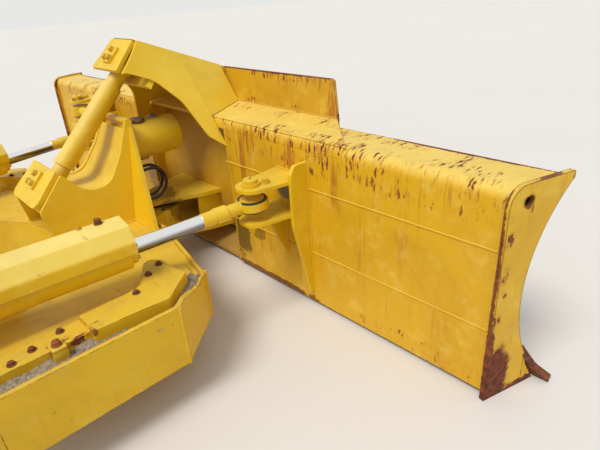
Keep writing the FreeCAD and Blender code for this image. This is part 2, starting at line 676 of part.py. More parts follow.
def hood():
    """Raised ramp and upstand along the middle of the blade's top edge."""
    top, back = SIZE["blade_top_z"], SIZE["back_x"]
    fold = back + SIZE["blade_reach"] + 5
    rear_half, front_half = SIZE["hood_rear_half"], SIZE["hood_front_half"]
    ramp = new_body("hood_ramp")
    slab(ramp, "XZ", [(back + 50, top, 0), (fold, top, 0), (fold, top + 34, 0), (back + 10, top + 5, 3),
                      (back + 10, top, 0)],
         -rear_half, 2 * rear_half, "2 * Sizes.hood_rear_half")
    margin = 200
    for side in (-1, 1):
        slab(ramp, "XY", [(back - 10, side * rear_half, 0), (fold + 14, side * (front_half - 16), 0),
                          (fold + 14, side * (rear_half + margin), 0),
                          (back - 10, side * (rear_half + margin), 0)], top - 5, 60, cut=True)
    keep(ramp, "hood_ramp")
    upstand = new_body("hood_upstand")
    high, lean, t = top + SIZE["hood_rise"], 26, 14
    slab(upstand, "XZ", [(fold, top - 40, 0), (fold + t, top - 40, 0), (fold + t, top + 30, 60),
                         (fold + t + lean, high, 4), (fold + lean, high, 4), (fold, top + 34, 60)],
         -front_half, 2 * front_half, "2 * Sizes.hood_front_half")
    top_half = front_half - SIZE["hood_taper"]
    for side in (-1, 1):
        slab(upstand, "YZ", [(side * front_half, top + 34, 0), (side * top_half, high - 8, 0),
                             (side * (top_half - 30), high + 5, 0), (side * (front_half + margin), high + 5, 0),
                             (side * (front_half + margin), top + 34, 0)], fold - 80, 200, cut=True)
    keep(upstand, "hood_upstand")


MAST_SLOPE = 0.388
MAST_TOP_Z = 832.0
MAST_HALF = 115.0


def mast_top_z(x):
    """Height of the mast's sloping top at a forward position."""
    return MAST_TOP_Z + (SIZE["back_x"] - x) * MAST_SLOPE


def loft_wall(body, stations, thickness):
    """Loft a wall through upright sections (x, top y, top z, foot y, foot z)."""
    sketches = []
    for x, top_y, top_z, foot_y, foot_z in stations:
        sketch = new_sketch(body, "YZ", x)
        points = [V(top_y, top_z, 0), V(foot_y, foot_z, 0), V(foot_y + thickness, foot_z, 0),
                  V(top_y + thickness, top_z, 0)]
        for index in range(4):
            sketch.addGeometry(Part.LineSegment(points[index], points[(index + 1) % 4]), False)
        sketches.append(sketch)
    loft = body.newObject("PartDesign::AdditiveLoft", body.Name + "_loft")
    loft.Profile = sketches[0]
    loft.Sections = sketches[1:]
    loft.Ruled = True
    body.Tip = loft
    return loft


def mast_space():
    """Room between the mast's side plates, used to fit the plates that cross it."""
    body = new_body("mast_space")
    sketches = []
    half, back = MAST_HALF - 15, SIZE["back_x"]
    for x, foot_y, foot_z in ((2150, 150, 740), (back, 423, 390)):
        sketch = new_sketch(body, "YZ", x)
        corners = [(-half, mast_top_z(x), 0), (-foot_y, foot_z, 0), (foot_y, foot_z, 0),
                   (half, mast_top_z(x), 0)]
        sketch.addGeometry(rounded(corners), False)
        sketches.append(sketch)
    loft = body.newObject("PartDesign::AdditiveLoft", "mast_space_loft")
    loft.Profile = sketches[0]
    loft.Sections = sketches[1:]
    loft.Ruled = True
    body.Tip = loft
    return body


def mast():
    """Arched mast that carries the pitch link's upper pin over the centre joint."""
    top, back = SIZE["blade_top_z"], SIZE["back_x"]
    ball_x, pin_z = SIZE["ball_x"], 800
    wall = new_body("mast_plate_right")
    loft_wall(wall, ((2150, -MAST_HALF, mast_top_z(2150), -165, 740),
                     (back, -MAST_HALF, mast_top_z(back), -438, 390)), 15)
    front = new_body("mast_front_right")
    loft_wall(front, ((back, -MAST_HALF, mast_top_z(back), -330, top + 8),
                      (2786, -MAST_HALF, mast_top_z(2786), -252, top + 36)), 15)
    fused = doc.addObject("Part::MultiFuse", "mast_fuse")
    fused.Shapes = [wall, front]
    arch = new_body("mast_arch")
    slab(arch, "XZ", [(2000, 700, 0), (2110, 786, 0), (2215, 786, 20), (2330, 738, 160), (2430, 620, 150),
                      (2466, 500, 100), (2500, 392, 0), (2600, 380, 0), (2600, 100, 0), (2000, 100, 0)],
         -700, 1400)
    slab(arch, "XZ", [(2000, 592, 0), (2508, 1100, 0), (2000, 1100, 0)], -700, 1400)
    low = trim(fused, arch, "mast_arch_right")
    block = new_body("mast_block")
    slab(block, "XZ", [(back - 0.3, 0, 0), (2790, 0, 0), (2790, top + 34.5, 0), (2562, top + 5.5, 0),
                       (back - 0.3, top + 5.5, 0)], -700, 1400)
    side = trim(low, block, "mast_foot_right")
    keep(side, "mast_plate_right")
    mirror(side, "mast_plate_left")

    crown = new_body("mast_crown")
    half = MAST_HALF - 15
    line = lambda x, drop: (x, mast_top_z(x) - drop)
    slab(crown, "XZ", [line(2308, 0) + (0,), line(2784, 0) + (0,), line(2784, 16) + (0,),
                       line(2330, 16) + (0,)], -half, 2 * half)
    keep(crown, "mast_crown")
    face = new_body("mast_face", link_frame(ball_x, pin_z))
    slab(face, "XY", [(-78, -138, 10), (96, -112, 10), (96, 112, 10), (-78, 138, 10)], 58, 20)
    disc(face, "XY", 0, 0, SIZE["link_pin_r"] + SIZE["bush_gap"], 50, 40, cut=True)
    keep(face, "mast_face")
    seat = new_body("mast_seat", link_frame(ball_x, pin_z))
    slab(seat, "XY", [(-62, -260, 0), (142, -260, 0), (142, 260, 0), (-62, 260, 0)], -82, 22)
    disc(seat, "XY", 0, 0, SIZE["link_pin_r"] + SIZE["bush_gap"], -90, 40, cut=True)
    over = new_body("mast_over")
    slab(over, "XZ", [line(2200, 16.2) + (0,), line(2700, 16.2) + (0,), (2700, 1200, 0), (2200, 1200, 0)],
         -300, 600)
    fitted = doc.addObject("Part::Common", "mast_seat_fitted")
    fitted.Base = trim(seat, over, "mast_seat")
    fitted.Tool = mast_space()
    keep(fitted, "mast_seat")
    pin = new_body("link_top_pin", link_frame(ball_x, pin_z))
    disc(pin, "XY", 0, 0, SIZE["link_pin_r"], 60, 28)
    slab(pin, "XY", [(-44, -40, 8), (44, -40, 8), (44, 40, 8), (-44, 40, 8)], 78, 12)
    foot = new_body("link_top_pin_foot", link_frame(ball_x, pin_z))
    disc(foot, "XY", 0, 0, SIZE["link_pin_r"], -92, 30)
    group = doc.addObject("Part::Compound", "link_top_pin_group")
    group.Links = [pin, foot]
    keep(group, "link_top_pin")


def centre_fork(clear):
    """Fork on the blade's back that rides on the centre joint's upright pin."""
    x, z, root = SIZE["ball_x"], SIZE["ball_z"], 2680
    body = new_body("centre_fork")
    ear = [(x, -92, 0), (root - 150, -190, 0), (root, -230, 0), (root, 230, 0),
           (root - 150, 190, 0), (x, 92, 0)]
    for low in (z + 96, z - 120):
        slab(body, "XY", ear, low, 24)
        disc(body, "XY", x, 0, 92, low, 24)
    for side in (-1, 1):
        low_y = 150 if side > 0 else -172
        slab(body, "XZ", [(2490, z - 120, 0), (root, z - 120, 0), (root, z + 120, 0), (2490, z + 120, 0)],
             low_y, 22)
    disc(body, "XY", x, 0, 40 + SIZE["bush_gap"], z - 200, 400, cut=True)
    keep(trim(body, clear, "centre_fork"), "centre_fork")


def angle_bracket():
    """Ears and outboard gusset that hold an angle cylinder's rod eye."""
    x, y, z, back = SIZE["angle_x"], -SIZE["angle_y"], SIZE["angle_z"], SIZE["back_x"]
    body = new_body("angle_bracket_right")
    ear = [(x - 62, y + 62, 60), (x - 62, y - 62, 60), (2452, -1005, 0), (back, -1005, 0),
           (back, -812, 0)]
    t = 16
    upper, lower = z + 66, z - 73 - t
    slab(body, "XY", ear, upper, t)
    slab(body, "XY", ear, lower, t)
    gusset = [(back, 430, 0), (2474, 430, 20), (2452, 392, 20), (2452, 150, 30), (2538, -237, 0),
              (back, -237, 0)]
    slab(body, "XZ", gusset, -1025, 20.2)
    rib = [(2420, lower + 1, 0), (back, lower + 1, 0), (back, -70, 0), (2536, -70, 0)]
    slab(body, "XZ", rib, -858, 18)
    disc(body, "XY", x, y, 28 + SIZE["bush_gap"], 0, 600, cut=True)
    keep(body, "angle_bracket_right")
    mirror(body, "angle_bracket_left")
    pin = new_body("angle_pin_top")
    disc(pin, "XY", x, y, 28, upper + 1, t - 1)
    disc(pin, "XY", x, y, 40, upper + t, 14)
    foot = new_body("angle_pin_foot")
    disc(foot, "XY", x, y, 28, lower, t - 1)
    group = doc.addObject("Part::Compound", "angle_pin_group")
    group.Links = [pin, foot]
    pair(group, "angle_pins")


def tilt_bracket():
    """Ears on the blade's left half that hold the tilt cylinder's rod eye."""
    x, y, z, back = SIZE["tilt_x"], SIZE["tilt_y"], SIZE["tilt_z"], SIZE["back_x"]
    t, lower, upper = 18, z - 64, z + 50
    body = new_body("tilt_bracket")
    ear = [(x - 52, y - 52, 50), (back, 830, 0), (back, 990, 0), (x + 60, y + 64, 20), (x - 52, y + 52, 50)]
    slab(body, "XY", ear, lower, t)
    slab(body, "XY", ear, upper, t)
    slab(body, "XZ", [(2460, lower, 0), (back, lower, 0), (back, upper + t, 0), (2460, upper + t, 0)],
         930, 18)
    disc(body, "XY", x, y, 25 + SIZE["bush_gap"], z - 90, 180, cut=True)
    keep(body, "tilt_bracket")
    pin = new_body("tilt_pin_top")
    disc(pin, "XY", x, y, 25, upper + 1, t - 1)
    disc(pin, "XY", x, y, 38, upper + t, 12)
    foot = new_body("tilt_pin_foot")
    disc(foot, "XY", x, y, 25, lower, t - 1)
    group = doc.addObject("Part::Compound", "tilt_pin_group")
    group.Links = [pin, foot]
    keep(group, "tilt_pins")


def cylinder_axis():
    """Length, swing and rise of the right angle cylinder at rest."""
    dx = SIZE["angle_x"] - SIZE["base_x"]
    dy = SIZE["base_y"] - SIZE["angle_y"]
    dz = SIZE["angle_z"] - SIZE["base_z"]
    flat = math.hypot(dx, dy)
    return math.hypot(flat, dz), math.degrees(math.atan2(dy, dx)), math.degrees(math.atan2(dz, flat))


def angle_cylinder():
    """Angle cylinder: cross block, guarded barrel and rod with its eye."""
    length, swing, rise = cylinder_axis()
    base = V(SIZE["base_x"], -SIZE["base_y"], SIZE["base_z"])
    flat = PLACE(base, ROT(V(0, 0, 1), swing))
    tilted = PLACE(base, ROT(V(0, 0, 1), swing).multiply(ROT(V(0, 1, 0), -rise)))
    r, rod = SIZE["barrel_r"], SIZE["rod_r"]
    gap = SIZE["bush_gap"]

    block = new_body("angle_yoke_right", flat)
    disc(block, "XY", 0, 0, 52, -58, 116)
    disc(block, "XZ", 0, 0, 26, -84, 168)
    disc(block, "XY", 0, 0, 30 + gap, -100, 200, cut=True)
    keep(block, "angle_yoke_right")
    mirror(block, "angle_yoke_left")

    barrel = new_body("angle_barrel_right", tilted)
    start, stop = 96, 818
    disc(barrel, "YZ", 0, 0, r, start, stop - start)
    disc(barrel, "YZ", 0, 0, 60, stop, 24)
    for low in (-84, 60):
        cheek = [(-44, -44, 42), (100, -50, 0), (100, 50, 0), (-44, 44, 42)]
        slab(barrel, "XZ", cheek, low, 24)
    slab(barrel, "YZ", [(-84, -52, 10), (84, -52, 10), (84, 52, 10), (-84, 52, 10)], 82, 24)
    disc(barrel, "XZ", 0, 0, 26 + gap, -200, 400, cut=True)
    disc(barrel, "YZ", 0, 0, 62, 106, 704, cut=True)
    disc(barrel, "YZ", 0, 0, rod + gap, 700, 200, cut=True)
    keep(barrel, "angle_barrel_right")
    mirror(barrel, "angle_barrel_left")

    guard = new_body("angle_guard_right", tilted)
    outer = [(-96, 18, 0), (-96, 62, 20), (-58, 118, 12), (58, 118, 12), (96, 62, 20), (96, 18, 0)]
    inner = [(88, 18, 0), (88, 60, 12), (54, 110, 6), (-54, 110, 6), (-88, 60, 12), (-88, 18, 0)]
    slab(guard, "YZ", outer + inner, 116, 722)
    for low in (150, 660):
        slab(guard, "YZ", [(-40, 60, 0), (40, 60, 0), (40, 111, 0), (-40, 111, 0)], low, 40)
    disc(guard, "YZ", 0, 0, r, 90, 740, cut=True)
    keep(guard, "angle_guard_right")
    mirror(guard, "angle_guard_left")

    shaft = new_body("angle_rod_right", tilted)
    disc(shaft, "YZ", 0, 0, rod, 450, length - 450 - 130)
    disc(shaft, "YZ", 0, 0, 61.7, 450, 20)
    disc(shaft, "YZ", 0, 0, rod + 4, length - 186, 56)
    disc(shaft, "YZ", 0, 0, 27.5, length - 131, 101)
    disc(shaft, "XY", length, 0, 70, -17, 34)
    disc(shaft, "XY", length, 0, 56, -24, 48)
    keep(shaft, "angle_rod_right")
    mirror(shaft, "angle_rod_left")


def tilt_cylinder():
    """Tilt cylinder: cross block, barrel and rod with its eye, built along the local X axis."""
    base = V(SIZE["ball_x"], 0, SIZE["tube_z"])
    dx, dy, dz = SIZE["tilt_x"] - base.x, SIZE["tilt_y"], SIZE["tilt_z"] - base.z
    length = math.sqrt(dx * dx + dy * dy + dz * dz)
    swing = math.degrees(math.atan2(dy, dx))
    rise = math.degrees(math.asin(dz / length))
    flat = PLACE(base, ROT(V(0, 0, 1), swing))
    tilted = PLACE(base, ROT(V(0, 0, 1), swing).multiply(ROT(V(0, 1, 0), -rise)))
    gap, joint, rod, pin = SIZE["bush_gap"], 140, 25, 16
    reach = joint * math.cos(math.radians(rise))
    drop = joint * math.sin(math.radians(rise))

    yoke = new_body("tilt_yoke", flat)
    disc(yoke, "XY", 0, 0, 56, -42, 84)
    slab(yoke, "XY", [(0, -24, 0), (reach, -24, 0), (reach, 24, 0), (0, 24, 0)], drop - 29, 58)
    disc(yoke, "XZ", reach, drop, 30, -24, 48)
    disc(yoke, "XZ", reach, drop, pin, -44, 88)
    disc(yoke, "XY", 0, 0, 30 + gap, -100, 200, cut=True)
    keep(yoke, "tilt_yoke")

    barrel = new_body("tilt_barrel", tilted)
    start, stop = 222, 520
    disc(barrel, "YZ", 0, 0, 58, start, stop - start)
    disc(barrel, "YZ", 0, 0, 48, stop, 20)
    for low in (-44, 28):
        cheek = [(joint - 31, -31, 30), (start + 4, -34, 0), (start + 4, 34, 0), (joint - 31, 31, 30)]
        slab(barrel, "XZ", cheek, low, 16)
    slab(barrel, "YZ", [(-40, -34, 6), (40, -34, 6), (40, 34, 6), (-40, 34, 6)], start - 18, 22)
    disc(barrel, "XZ", joint, 0, pin + gap, -100, 200, cut=True)
    disc(barrel, "YZ", 0, 0, 48, start + 10, stop - start - 20, cut=True)
    disc(barrel, "YZ", 0, 0, rod + gap, stop - 30, 100, cut=True)
    keep(barrel, "tilt_barrel")

    shaft = new_body("tilt_rod", tilted)
    tail = 350
    disc(shaft, "YZ", 0, 0, rod, tail, length - tail - 20)
    disc(shaft, "YZ", 0, 0, 47.7, tail, 20)
    disc(shaft, "YZ", 0, 0, 28.5, length - 130, 100)
    disc(shaft, "XY", length, 0, 56, -28, 56)
    keep(shaft, "tilt_rod")


def pitch_link():
    """Thick tube with an eye at each end, from the tower up to the mast."""
    span = math.hypot(SIZE["ball_x"] - SIZE["link_low_x"], 800 - SIZE["link_low_z"])
    r, pin = SIZE["link_r"], SIZE["link_pin_r"]
    body = new_body("pitch_link", link_frame(SIZE["link_low_x"], SIZE["link_low_z"]))
    disc(body, "XY", 0, 0, 64, -50, 100)
    disc(body, "YZ", 0, 0, 40, 40, span - 80)
    disc(body, "YZ", 0, 0, r, 118, span - 240)
    disc(body, "YZ", 0, 0, r + 5, 118, 18)
    disc(body, "XY", 0, 0, pin + SIZE["bush_gap"], -60, 120, cut=True)
    place = link_frame(SIZE["link_low_x"], SIZE["link_low_z"])
    ball = doc.addObject("Part::Sphere", "link_ball")
    ball.Radius = 58
    ball.Placement = place.multiply(PLACE(V(span, 0, 0), ROT()))
    flat = new_body("link_flat", place)
    disc(flat, "XY", span, 0, 70, -40, 80)
    eye = doc.addObject("Part::Common", "link_eye")
    eye.Base = ball
    eye.Tool = flat
    whole = doc.addObject("Part::Fuse", "link_whole")
    whole.Base = body
    whole.Tool = eye
    keep(whole, "pitch_link")


def main():
    """Build every sub-part, check it and write it out."""
    frame_head()
    push_arm()
    trunnion_eye()
    block = tower()
    wing_gussets(block)
    tilt_housing()
    tower_hoses()
    ball_socket()
    hose_cover()
    base_bracket()
    lift_lugs()
    clear, mould, plate = blade_panels()
    cutting_edges(mould, plate)
    hood()
    mast()
    centre_fork(clear)
    angle_bracket()
    tilt_bracket()
    angle_cylinder()
    tilt_cylinder()
    pitch_link()
    doc.recompute()
    bad = 0
    for item in doc.Objects:
        if "Invalid" in item.State or "Error" in item.State:
            print("STATE", item.Name, item.Label, item.State)
            bad += 1
    os.makedirs("parts", exist_ok=True)
    for node in NODES:
        shape = node.Shape
        if shape.isNull() or not shape.isValid() or not shape.Solids:
            print("SHAPE", node.Label, "is not a valid solid")
            bad += 1
            continue
        shape.exportStep(os.path.join("parts", node.Label + ".step"))
        box = shape.BoundBox
        print("%-20s solids %d volume %.4f m3 box %.0f..%.0f %.0f..%.0f %.0f..%.0f" % (
            node.Label, len(shape.Solids), shape.Volume / 1e9, box.XMin, box.XMax,
            box.YMin, box.YMax, box.ZMin, box.ZMax))
    print("sub-parts", len(NODES), "bad", bad)
    if bad:
        raise RuntimeError("some features failed")


main()
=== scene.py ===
"""Looks of a dozer blade with its push frame: finishes, wear and small fittings."""

import logging
import math
from collections.abc import Callable, Iterator, Sequence
from contextlib import contextmanager
from dataclasses import dataclass, field
from enum import Enum
from typing import ClassVar, NamedTuple

import bpy
from mathutils import Matrix, Vector


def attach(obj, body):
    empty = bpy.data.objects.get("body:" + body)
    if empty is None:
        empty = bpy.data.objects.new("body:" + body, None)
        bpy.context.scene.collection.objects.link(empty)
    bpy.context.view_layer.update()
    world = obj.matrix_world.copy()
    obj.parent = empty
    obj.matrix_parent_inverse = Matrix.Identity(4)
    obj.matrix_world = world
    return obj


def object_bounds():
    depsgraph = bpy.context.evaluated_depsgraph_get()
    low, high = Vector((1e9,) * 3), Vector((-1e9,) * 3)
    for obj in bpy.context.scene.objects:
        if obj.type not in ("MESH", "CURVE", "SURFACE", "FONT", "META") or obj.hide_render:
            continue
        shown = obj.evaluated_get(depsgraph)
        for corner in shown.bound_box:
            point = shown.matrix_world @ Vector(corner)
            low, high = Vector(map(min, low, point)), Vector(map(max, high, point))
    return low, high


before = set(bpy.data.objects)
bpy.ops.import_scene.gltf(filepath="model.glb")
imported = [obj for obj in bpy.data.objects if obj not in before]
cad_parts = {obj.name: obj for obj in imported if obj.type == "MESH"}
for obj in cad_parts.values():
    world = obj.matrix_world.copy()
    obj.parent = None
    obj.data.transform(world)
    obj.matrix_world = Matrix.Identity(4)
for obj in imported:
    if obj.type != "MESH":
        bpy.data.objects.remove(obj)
CAD_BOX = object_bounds()
log = logging.getLogger("dozer_blade")

Point = tuple[float, float, float]
Colour = tuple[float, float, float, float]
Flat = tuple[float, float]
Run = tuple[Point, Point]
Spot = tuple[Point | Vector | float, ...]
Socket = bpy.types.NodeSocket
Sockets = dict[str, Socket]
Source = Socket | float | tuple[float, ...]

FLOAT = "NodeSocketFloat"
VECTOR = "NodeSocketVector"
COLOUR = "NodeSocketColor"
UP = (0.0, 0.0, 1.0)
SMOOTH_ANGLE = 35.0


# ---------------------------------------------------------------- node graphs


class Graph:
    """Short ways to add and join the nodes of one material or node group."""

    def __init__(self, tree: bpy.types.NodeTree) -> None:
        """Start on an empty tree.

        Args:
            tree: The tree that the nodes go into.
        """
        self.tree = tree
        self.nodes = tree.nodes
        self.links = tree.links

    def node(self, kind: str, **settings: object) -> bpy.types.Node:
        """Add a node.

        Args:
            kind: The node's type name.
            settings: Values for the node's own properties.

        Returns:
            The new node.
        """
        made = self.nodes.new(kind)
        for name, value in settings.items():
            setattr(made, name, value)
        return made

    def feed(self, socket: Socket, source: Source) -> None:
        """Link a socket to another one, or set its value.

        Args:
            socket: The input that is fed.
            source: An output socket, a number, a vector or a colour.
        """
        if isinstance(source, Socket):
            self.links.new(source, socket)
        else:
            socket.default_value = source

    def maths(self, operation: str, first: Source, second: Source = 0.0, clamp: bool = False) -> Socket:
        """Work out one value from two.

        Args:
            operation: The Math node's operation.
            first: The first socket or number.
            second: The second socket or number.
            clamp: Whether the result is kept from 0 to 1.

        Returns:
            The result's socket.
        """
        made = self.node("ShaderNodeMath", operation=operation, use_clamp=clamp)
        self.feed(made.inputs[0], first)
        self.feed(made.inputs[1], second)
        return made.outputs[0]

    def vectors(self, operation: str, first: Source, second: Source = (0.0, 0.0, 0.0)) -> Socket:
        """Work out a vector, or a value such as a length, from two vectors.

        Args:
            operation: The Vector Math node's operation.
            first: The first socket or vector.
            second: The second socket or vector.

        Returns:
            The result's socket.
        """
        made = self.node("ShaderNodeVectorMath", operation=operation)
        self.feed(made.inputs[0], first)
        self.feed(made.inputs[1], second)
        return made.outputs["Value"] if operation in ("LENGTH", "DOT_PRODUCT", "DISTANCE") else made.outputs[0]

    def step(self, value: Source, low: Source, high: Source) -> Socket:
        """Turn a value into a soft mask that rises from 0 at low to 1 at high.

        Args:
            value: The socket that is compared.
            low: Where the mask is 0.
            high: Where the mask is 1.

        Returns:
            The mask's socket.
        """
        made = self.node("ShaderNodeMapRange", interpolation_type="SMOOTHSTEP")
        self.feed(made.inputs["Value"], value)
        self.feed(made.inputs["From Min"], low)
        self.feed(made.inputs["From Max"], high)
        return made.outputs[0]

    def noise(self, vector: Source, scale: Source, detail: float = 4.0, roughness: float = 0.55,
              distortion: float = 0.0) -> Socket:
        """Add a noise pattern.

        Args:
            vector: The place that it is read at.
            scale: How many lumps fit in a metre.
            detail: How many finer layers it has.
            roughness: How strong the finer layers are.
            distortion: How far it is swirled.

        Returns:
            The noise's socket, from 0 to 1.
        """
        made = self.node("ShaderNodeTexNoise")
        self.feed(made.inputs["Vector"], vector)
        self.feed(made.inputs["Scale"], scale)
        made.inputs["Detail"].default_value = detail
        made.inputs["Roughness"].default_value = roughness
        made.inputs["Distortion"].default_value = distortion
        return made.outputs[0]

    def blend(self, share: Source, first: Source, second: Source) -> Socket:
        """Mix two colours.

        Args:
            share: How much of the second colour shows.
            first: The colour under it.
            second: The colour over it.

        Returns:
            The mixed colour's socket.
        """
        made = self.node("ShaderNodeMix", data_type="RGBA", clamp_factor=True)
        self.feed(made.inputs[0], share)
        self.feed(made.inputs[6], first)
        self.feed(made.inputs[7], second)
        return made.outputs[2]

    def between(self, share: Source, first: Source, second: Source) -> Socket:
        """Mix two values.

        Args:
            share: How much of the second value counts.
            first: The value at 0.
            second: The value at 1.

        Returns:
            The mixed value's socket.
        """
        made = self.node("ShaderNodeMix", data_type="FLOAT", clamp_factor=True)
        self.feed(made.inputs[0], share)
        self.feed(made.inputs[2], first)
        self.feed(made.inputs[3], second)
        return made.outputs[0]

    def product(self, first: Source, *others: Source, clamp: bool = False) -> Socket:
        """Multiply values one after the other.

        Args:
            first: The first value.
            others: The values that it is multiplied by.
            clamp: Whether the result is kept from 0 to 1.

        Returns:
            The product's socket.
        """
        for other in others[:-1]:
            first = self.maths("MULTIPLY", first, other)
        return self.maths("MULTIPLY", first, others[-1], clamp)

    def rest_of(self, share: Source) -> Socket:
        """Give what a share leaves of 1."""
        return self.maths("SUBTRACT", 1.0, share, True)

    def covering(self, value: Source, cover: Source, below: float, above: float) -> Socket:
        """Turn noise into a soft mask that covers more of the surface as its cover grows.

        Args:
            value: The noise.
            cover: The cover, from 0 to 1.
            below: How far under its limit the mask begins.
            above: How far over its limit the mask is full.

        Returns:
            The mask's socket.
        """
        limit = self.maths("SUBTRACT", 1.0, cover)
        return self.step(value, self.maths("SUBTRACT", limit, below), self.maths("ADD", limit, above))

    def swirled(self, place: Source, scale: float, detail: float, reach: float) -> Socket:
        """Shift places by noise, for ragged borders.

        Args:
            place: The places.
            scale: How many lumps of the noise fit in a metre.
            detail: How many finer layers it has.
            reach: How far the places are shifted, in metres.

        Returns:
            The shifted places' socket.
        """
        colour = self.noise(place, scale, detail, 0.5).node.outputs["Color"]
        shift = self.vectors("SCALE", self.vectors("SUBTRACT", colour, (0.5, 0.5, 0.5)))
        shift.node.inputs["Scale"].default_value = reach
        return self.vectors("ADD", place, shift)

    def mapped(self, place: Source, turn: Point, stretch: Point) -> Socket:
        """Turn the places that a pattern is read at, in radians, and stretch them."""
        made = self.node("ShaderNodeMapping")
        self.feed(made.inputs["Vector"], place)
        made.inputs["Rotation"].default_value = turn
        made.inputs["Scale"].default_value = stretch
        return made.outputs[0]

    def cells(self, place: Source, scale: Source) -> tuple[Socket, Socket]:
        """Add a pattern of round cells.

        Args:
            place: The place that it is read at.
            scale: How many cells fit in a metre.

        Returns:
            The distance from the nearest cell's middle and that cell's random value.
        """
        made = self.node("ShaderNodeTexVoronoi")
        self.feed(made.inputs["Vector"], place)
        self.feed(made.inputs["Scale"], scale)
        tint = self.node("ShaderNodeSeparateColor")
        self.feed(tint.inputs[0], made.outputs["Color"])
        return made.outputs["Distance"], tint.outputs[0]

    def place(self) -> Socket:
        """Give the socket of the point's place on the object."""
        return self.node("ShaderNodeTexCoord").outputs["Object"]

    def part(self, vector: Source, axis: int) -> Socket:
        """Give the socket of one part of a vector."""
        parts = self.node("ShaderNodeSeparateXYZ")
        self.feed(parts.inputs[0], vector)
        return parts.outputs[axis]

    def facing(self, axis: int) -> Socket:
        """Give the socket of how far the surface faces along an axis, from -1 to 1."""
        return self.part(self.node("ShaderNodeNewGeometry").outputs["Normal"], axis)

    def upward(self) -> Socket:
        """Give the socket of how far the surface faces up, from -1 to 1."""
        return self.facing(2)


class Effect:
    """A node group that is built once and then placed in every material that uses it."""

    made: dict[str, bpy.types.NodeTree] = {}

    name = "effect"
    inputs: tuple[tuple[str, str, object], ...] = ()
    outputs: tuple[tuple[str, str], ...] = (("Mask", FLOAT),)

    def build(self, graph: Graph, given: Sockets) -> Sockets:
        """Lay out the group's nodes.

        Args:
            graph: The group's graph.
            given: The group's input sockets by name.

        Returns:
            The socket that feeds each output, by the output's name.
        """
        raise NotImplementedError

    def tree(self) -> bpy.types.NodeTree:
        """Give the group's tree, built the first time it is asked for."""
        if self.name not in Effect.made:
            tree = bpy.data.node_groups.new(self.name, "ShaderNodeTree")
            for name, kind, value in self.inputs:
                socket = tree.interface.new_socket(name=name, in_out="INPUT", socket_type=kind)
                socket.default_value = value
            for name, kind in self.outputs:
                tree.interface.new_socket(name=name, in_out="OUTPUT", socket_type=kind)
            graph = Graph(tree)
            entry = graph.node("NodeGroupInput")
            given = {name: entry.outputs[name] for name, _, _ in self.inputs}
            leaving = graph.node("NodeGroupOutput")
            for name, socket in self.build(graph, given).items():
                graph.feed(leaving.inputs[name], socket)
            Effect.made[self.name] = tree
        return Effect.made[self.name]

    def put(self, graph: Graph, output: str = "Mask", **values: Source) -> Socket:
        """Place the group in a material.

        Args:
            graph: The material's graph.
            output: The output that is wanted.
            values: A socket or value for each input, its spaces written as underscores.

        Returns:
            The output's socket.
        """
        made = graph.node("ShaderNodeGroup")
        made.node_tree = self.tree()
        for name, value in values.items():
            graph.feed(made.inputs[name.replace("_", " ")], value)
        return made.outputs[output]


class EdgeWear(Effect):
    """Bare, rusted places along the edges of plates, broken up unevenly."""

    name = "edge_wear"
    inputs = (("Radius", FLOAT, 0.006), ("Break", FLOAT, 14.0), ("Cover", FLOAT, 0.5))
    bends = (0.008, 0.10)

    def build(self, graph: Graph, given: Sockets) -> Sockets:
        """Compare the surface with a rounded one and break the difference with noise."""
        rounded = graph.node("ShaderNodeBevel", samples=5)
        graph.feed(rounded.inputs["Radius"], given["Radius"])
        flat = graph.node("ShaderNodeNewGeometry").outputs["Normal"]
        alike = graph.vectors("DOT_PRODUCT", rounded.outputs[0], flat)
        worn = graph.step(graph.maths("SUBTRACT", 1.0, alike), *self.bends)
        lumps = graph.noise(graph.place(), given["Break"], 9.0, 0.72, 0.3)
        return {"Mask": graph.product(worn, graph.covering(lumps, given["Cover"], 0.06, 0.05), clamp=True)}


class RustSpots(Effect):
    """Round and ragged rust spots of many sizes, in clusters."""

    name = "rust_spots"
    inputs = (("Scale", FLOAT, 30.0), ("Amount", FLOAT, 1.0))
    cluster_scale = 3.0
    rarity = 3.2
    largest = 0.52
    speck_scale = 130.0

    def build(self, graph: Graph, given: Sockets) -> Sockets:
        """Draw cells whose size is random, ragged by fine noise and thinned by coarse noise."""
        place = graph.place()
        away, chance = graph.cells(graph.swirled(place, 70.0, 4.0, 0.030), given["Scale"])
        crowd = graph.step(graph.noise(place, self.cluster_scale, 3.0, 0.6), 0.40, 0.66)
        crowd = graph.product(crowd, given["Amount"])
        size = graph.product(graph.maths("POWER", chance, self.rarity), self.largest, crowd)
        spots = graph.step(graph.maths("SUBTRACT", size, away), 0.0, 0.07)
        specks = graph.product(graph.step(graph.noise(place, self.speck_scale, 6.0, 0.7), 0.69, 0.74), crowd)
        return {"Mask": graph.maths("MAXIMUM", spots, specks, True)}


class RustRuns(Effect):
    """Brown stains that have run straight down the plates."""

    name = "rust_runs"
    inputs = (("Amount", FLOAT, 1.0),)
    line_scale = 30.0
    upright = 0.085
    patch_scale = 2.6

    def build(self, graph: Graph, given: Sockets) -> Sockets:
        """Stretch noise upright and keep its peaks, in patches."""
        place = graph.place()
        tall = graph.vectors("MULTIPLY", place, (1.0, 1.0, self.upright))
        lines = graph.step(graph.noise(tall, self.line_scale, 5.0, 0.62), 0.52, 0.68)
        patch = graph.step(graph.noise(place, self.patch_scale, 3.0), 0.40, 0.60)
        steep = graph.rest_of(graph.maths("ABSOLUTE", graph.upward()))
        return {"Mask": graph.product(lines, patch, steep, given["Amount"], clamp=True)}


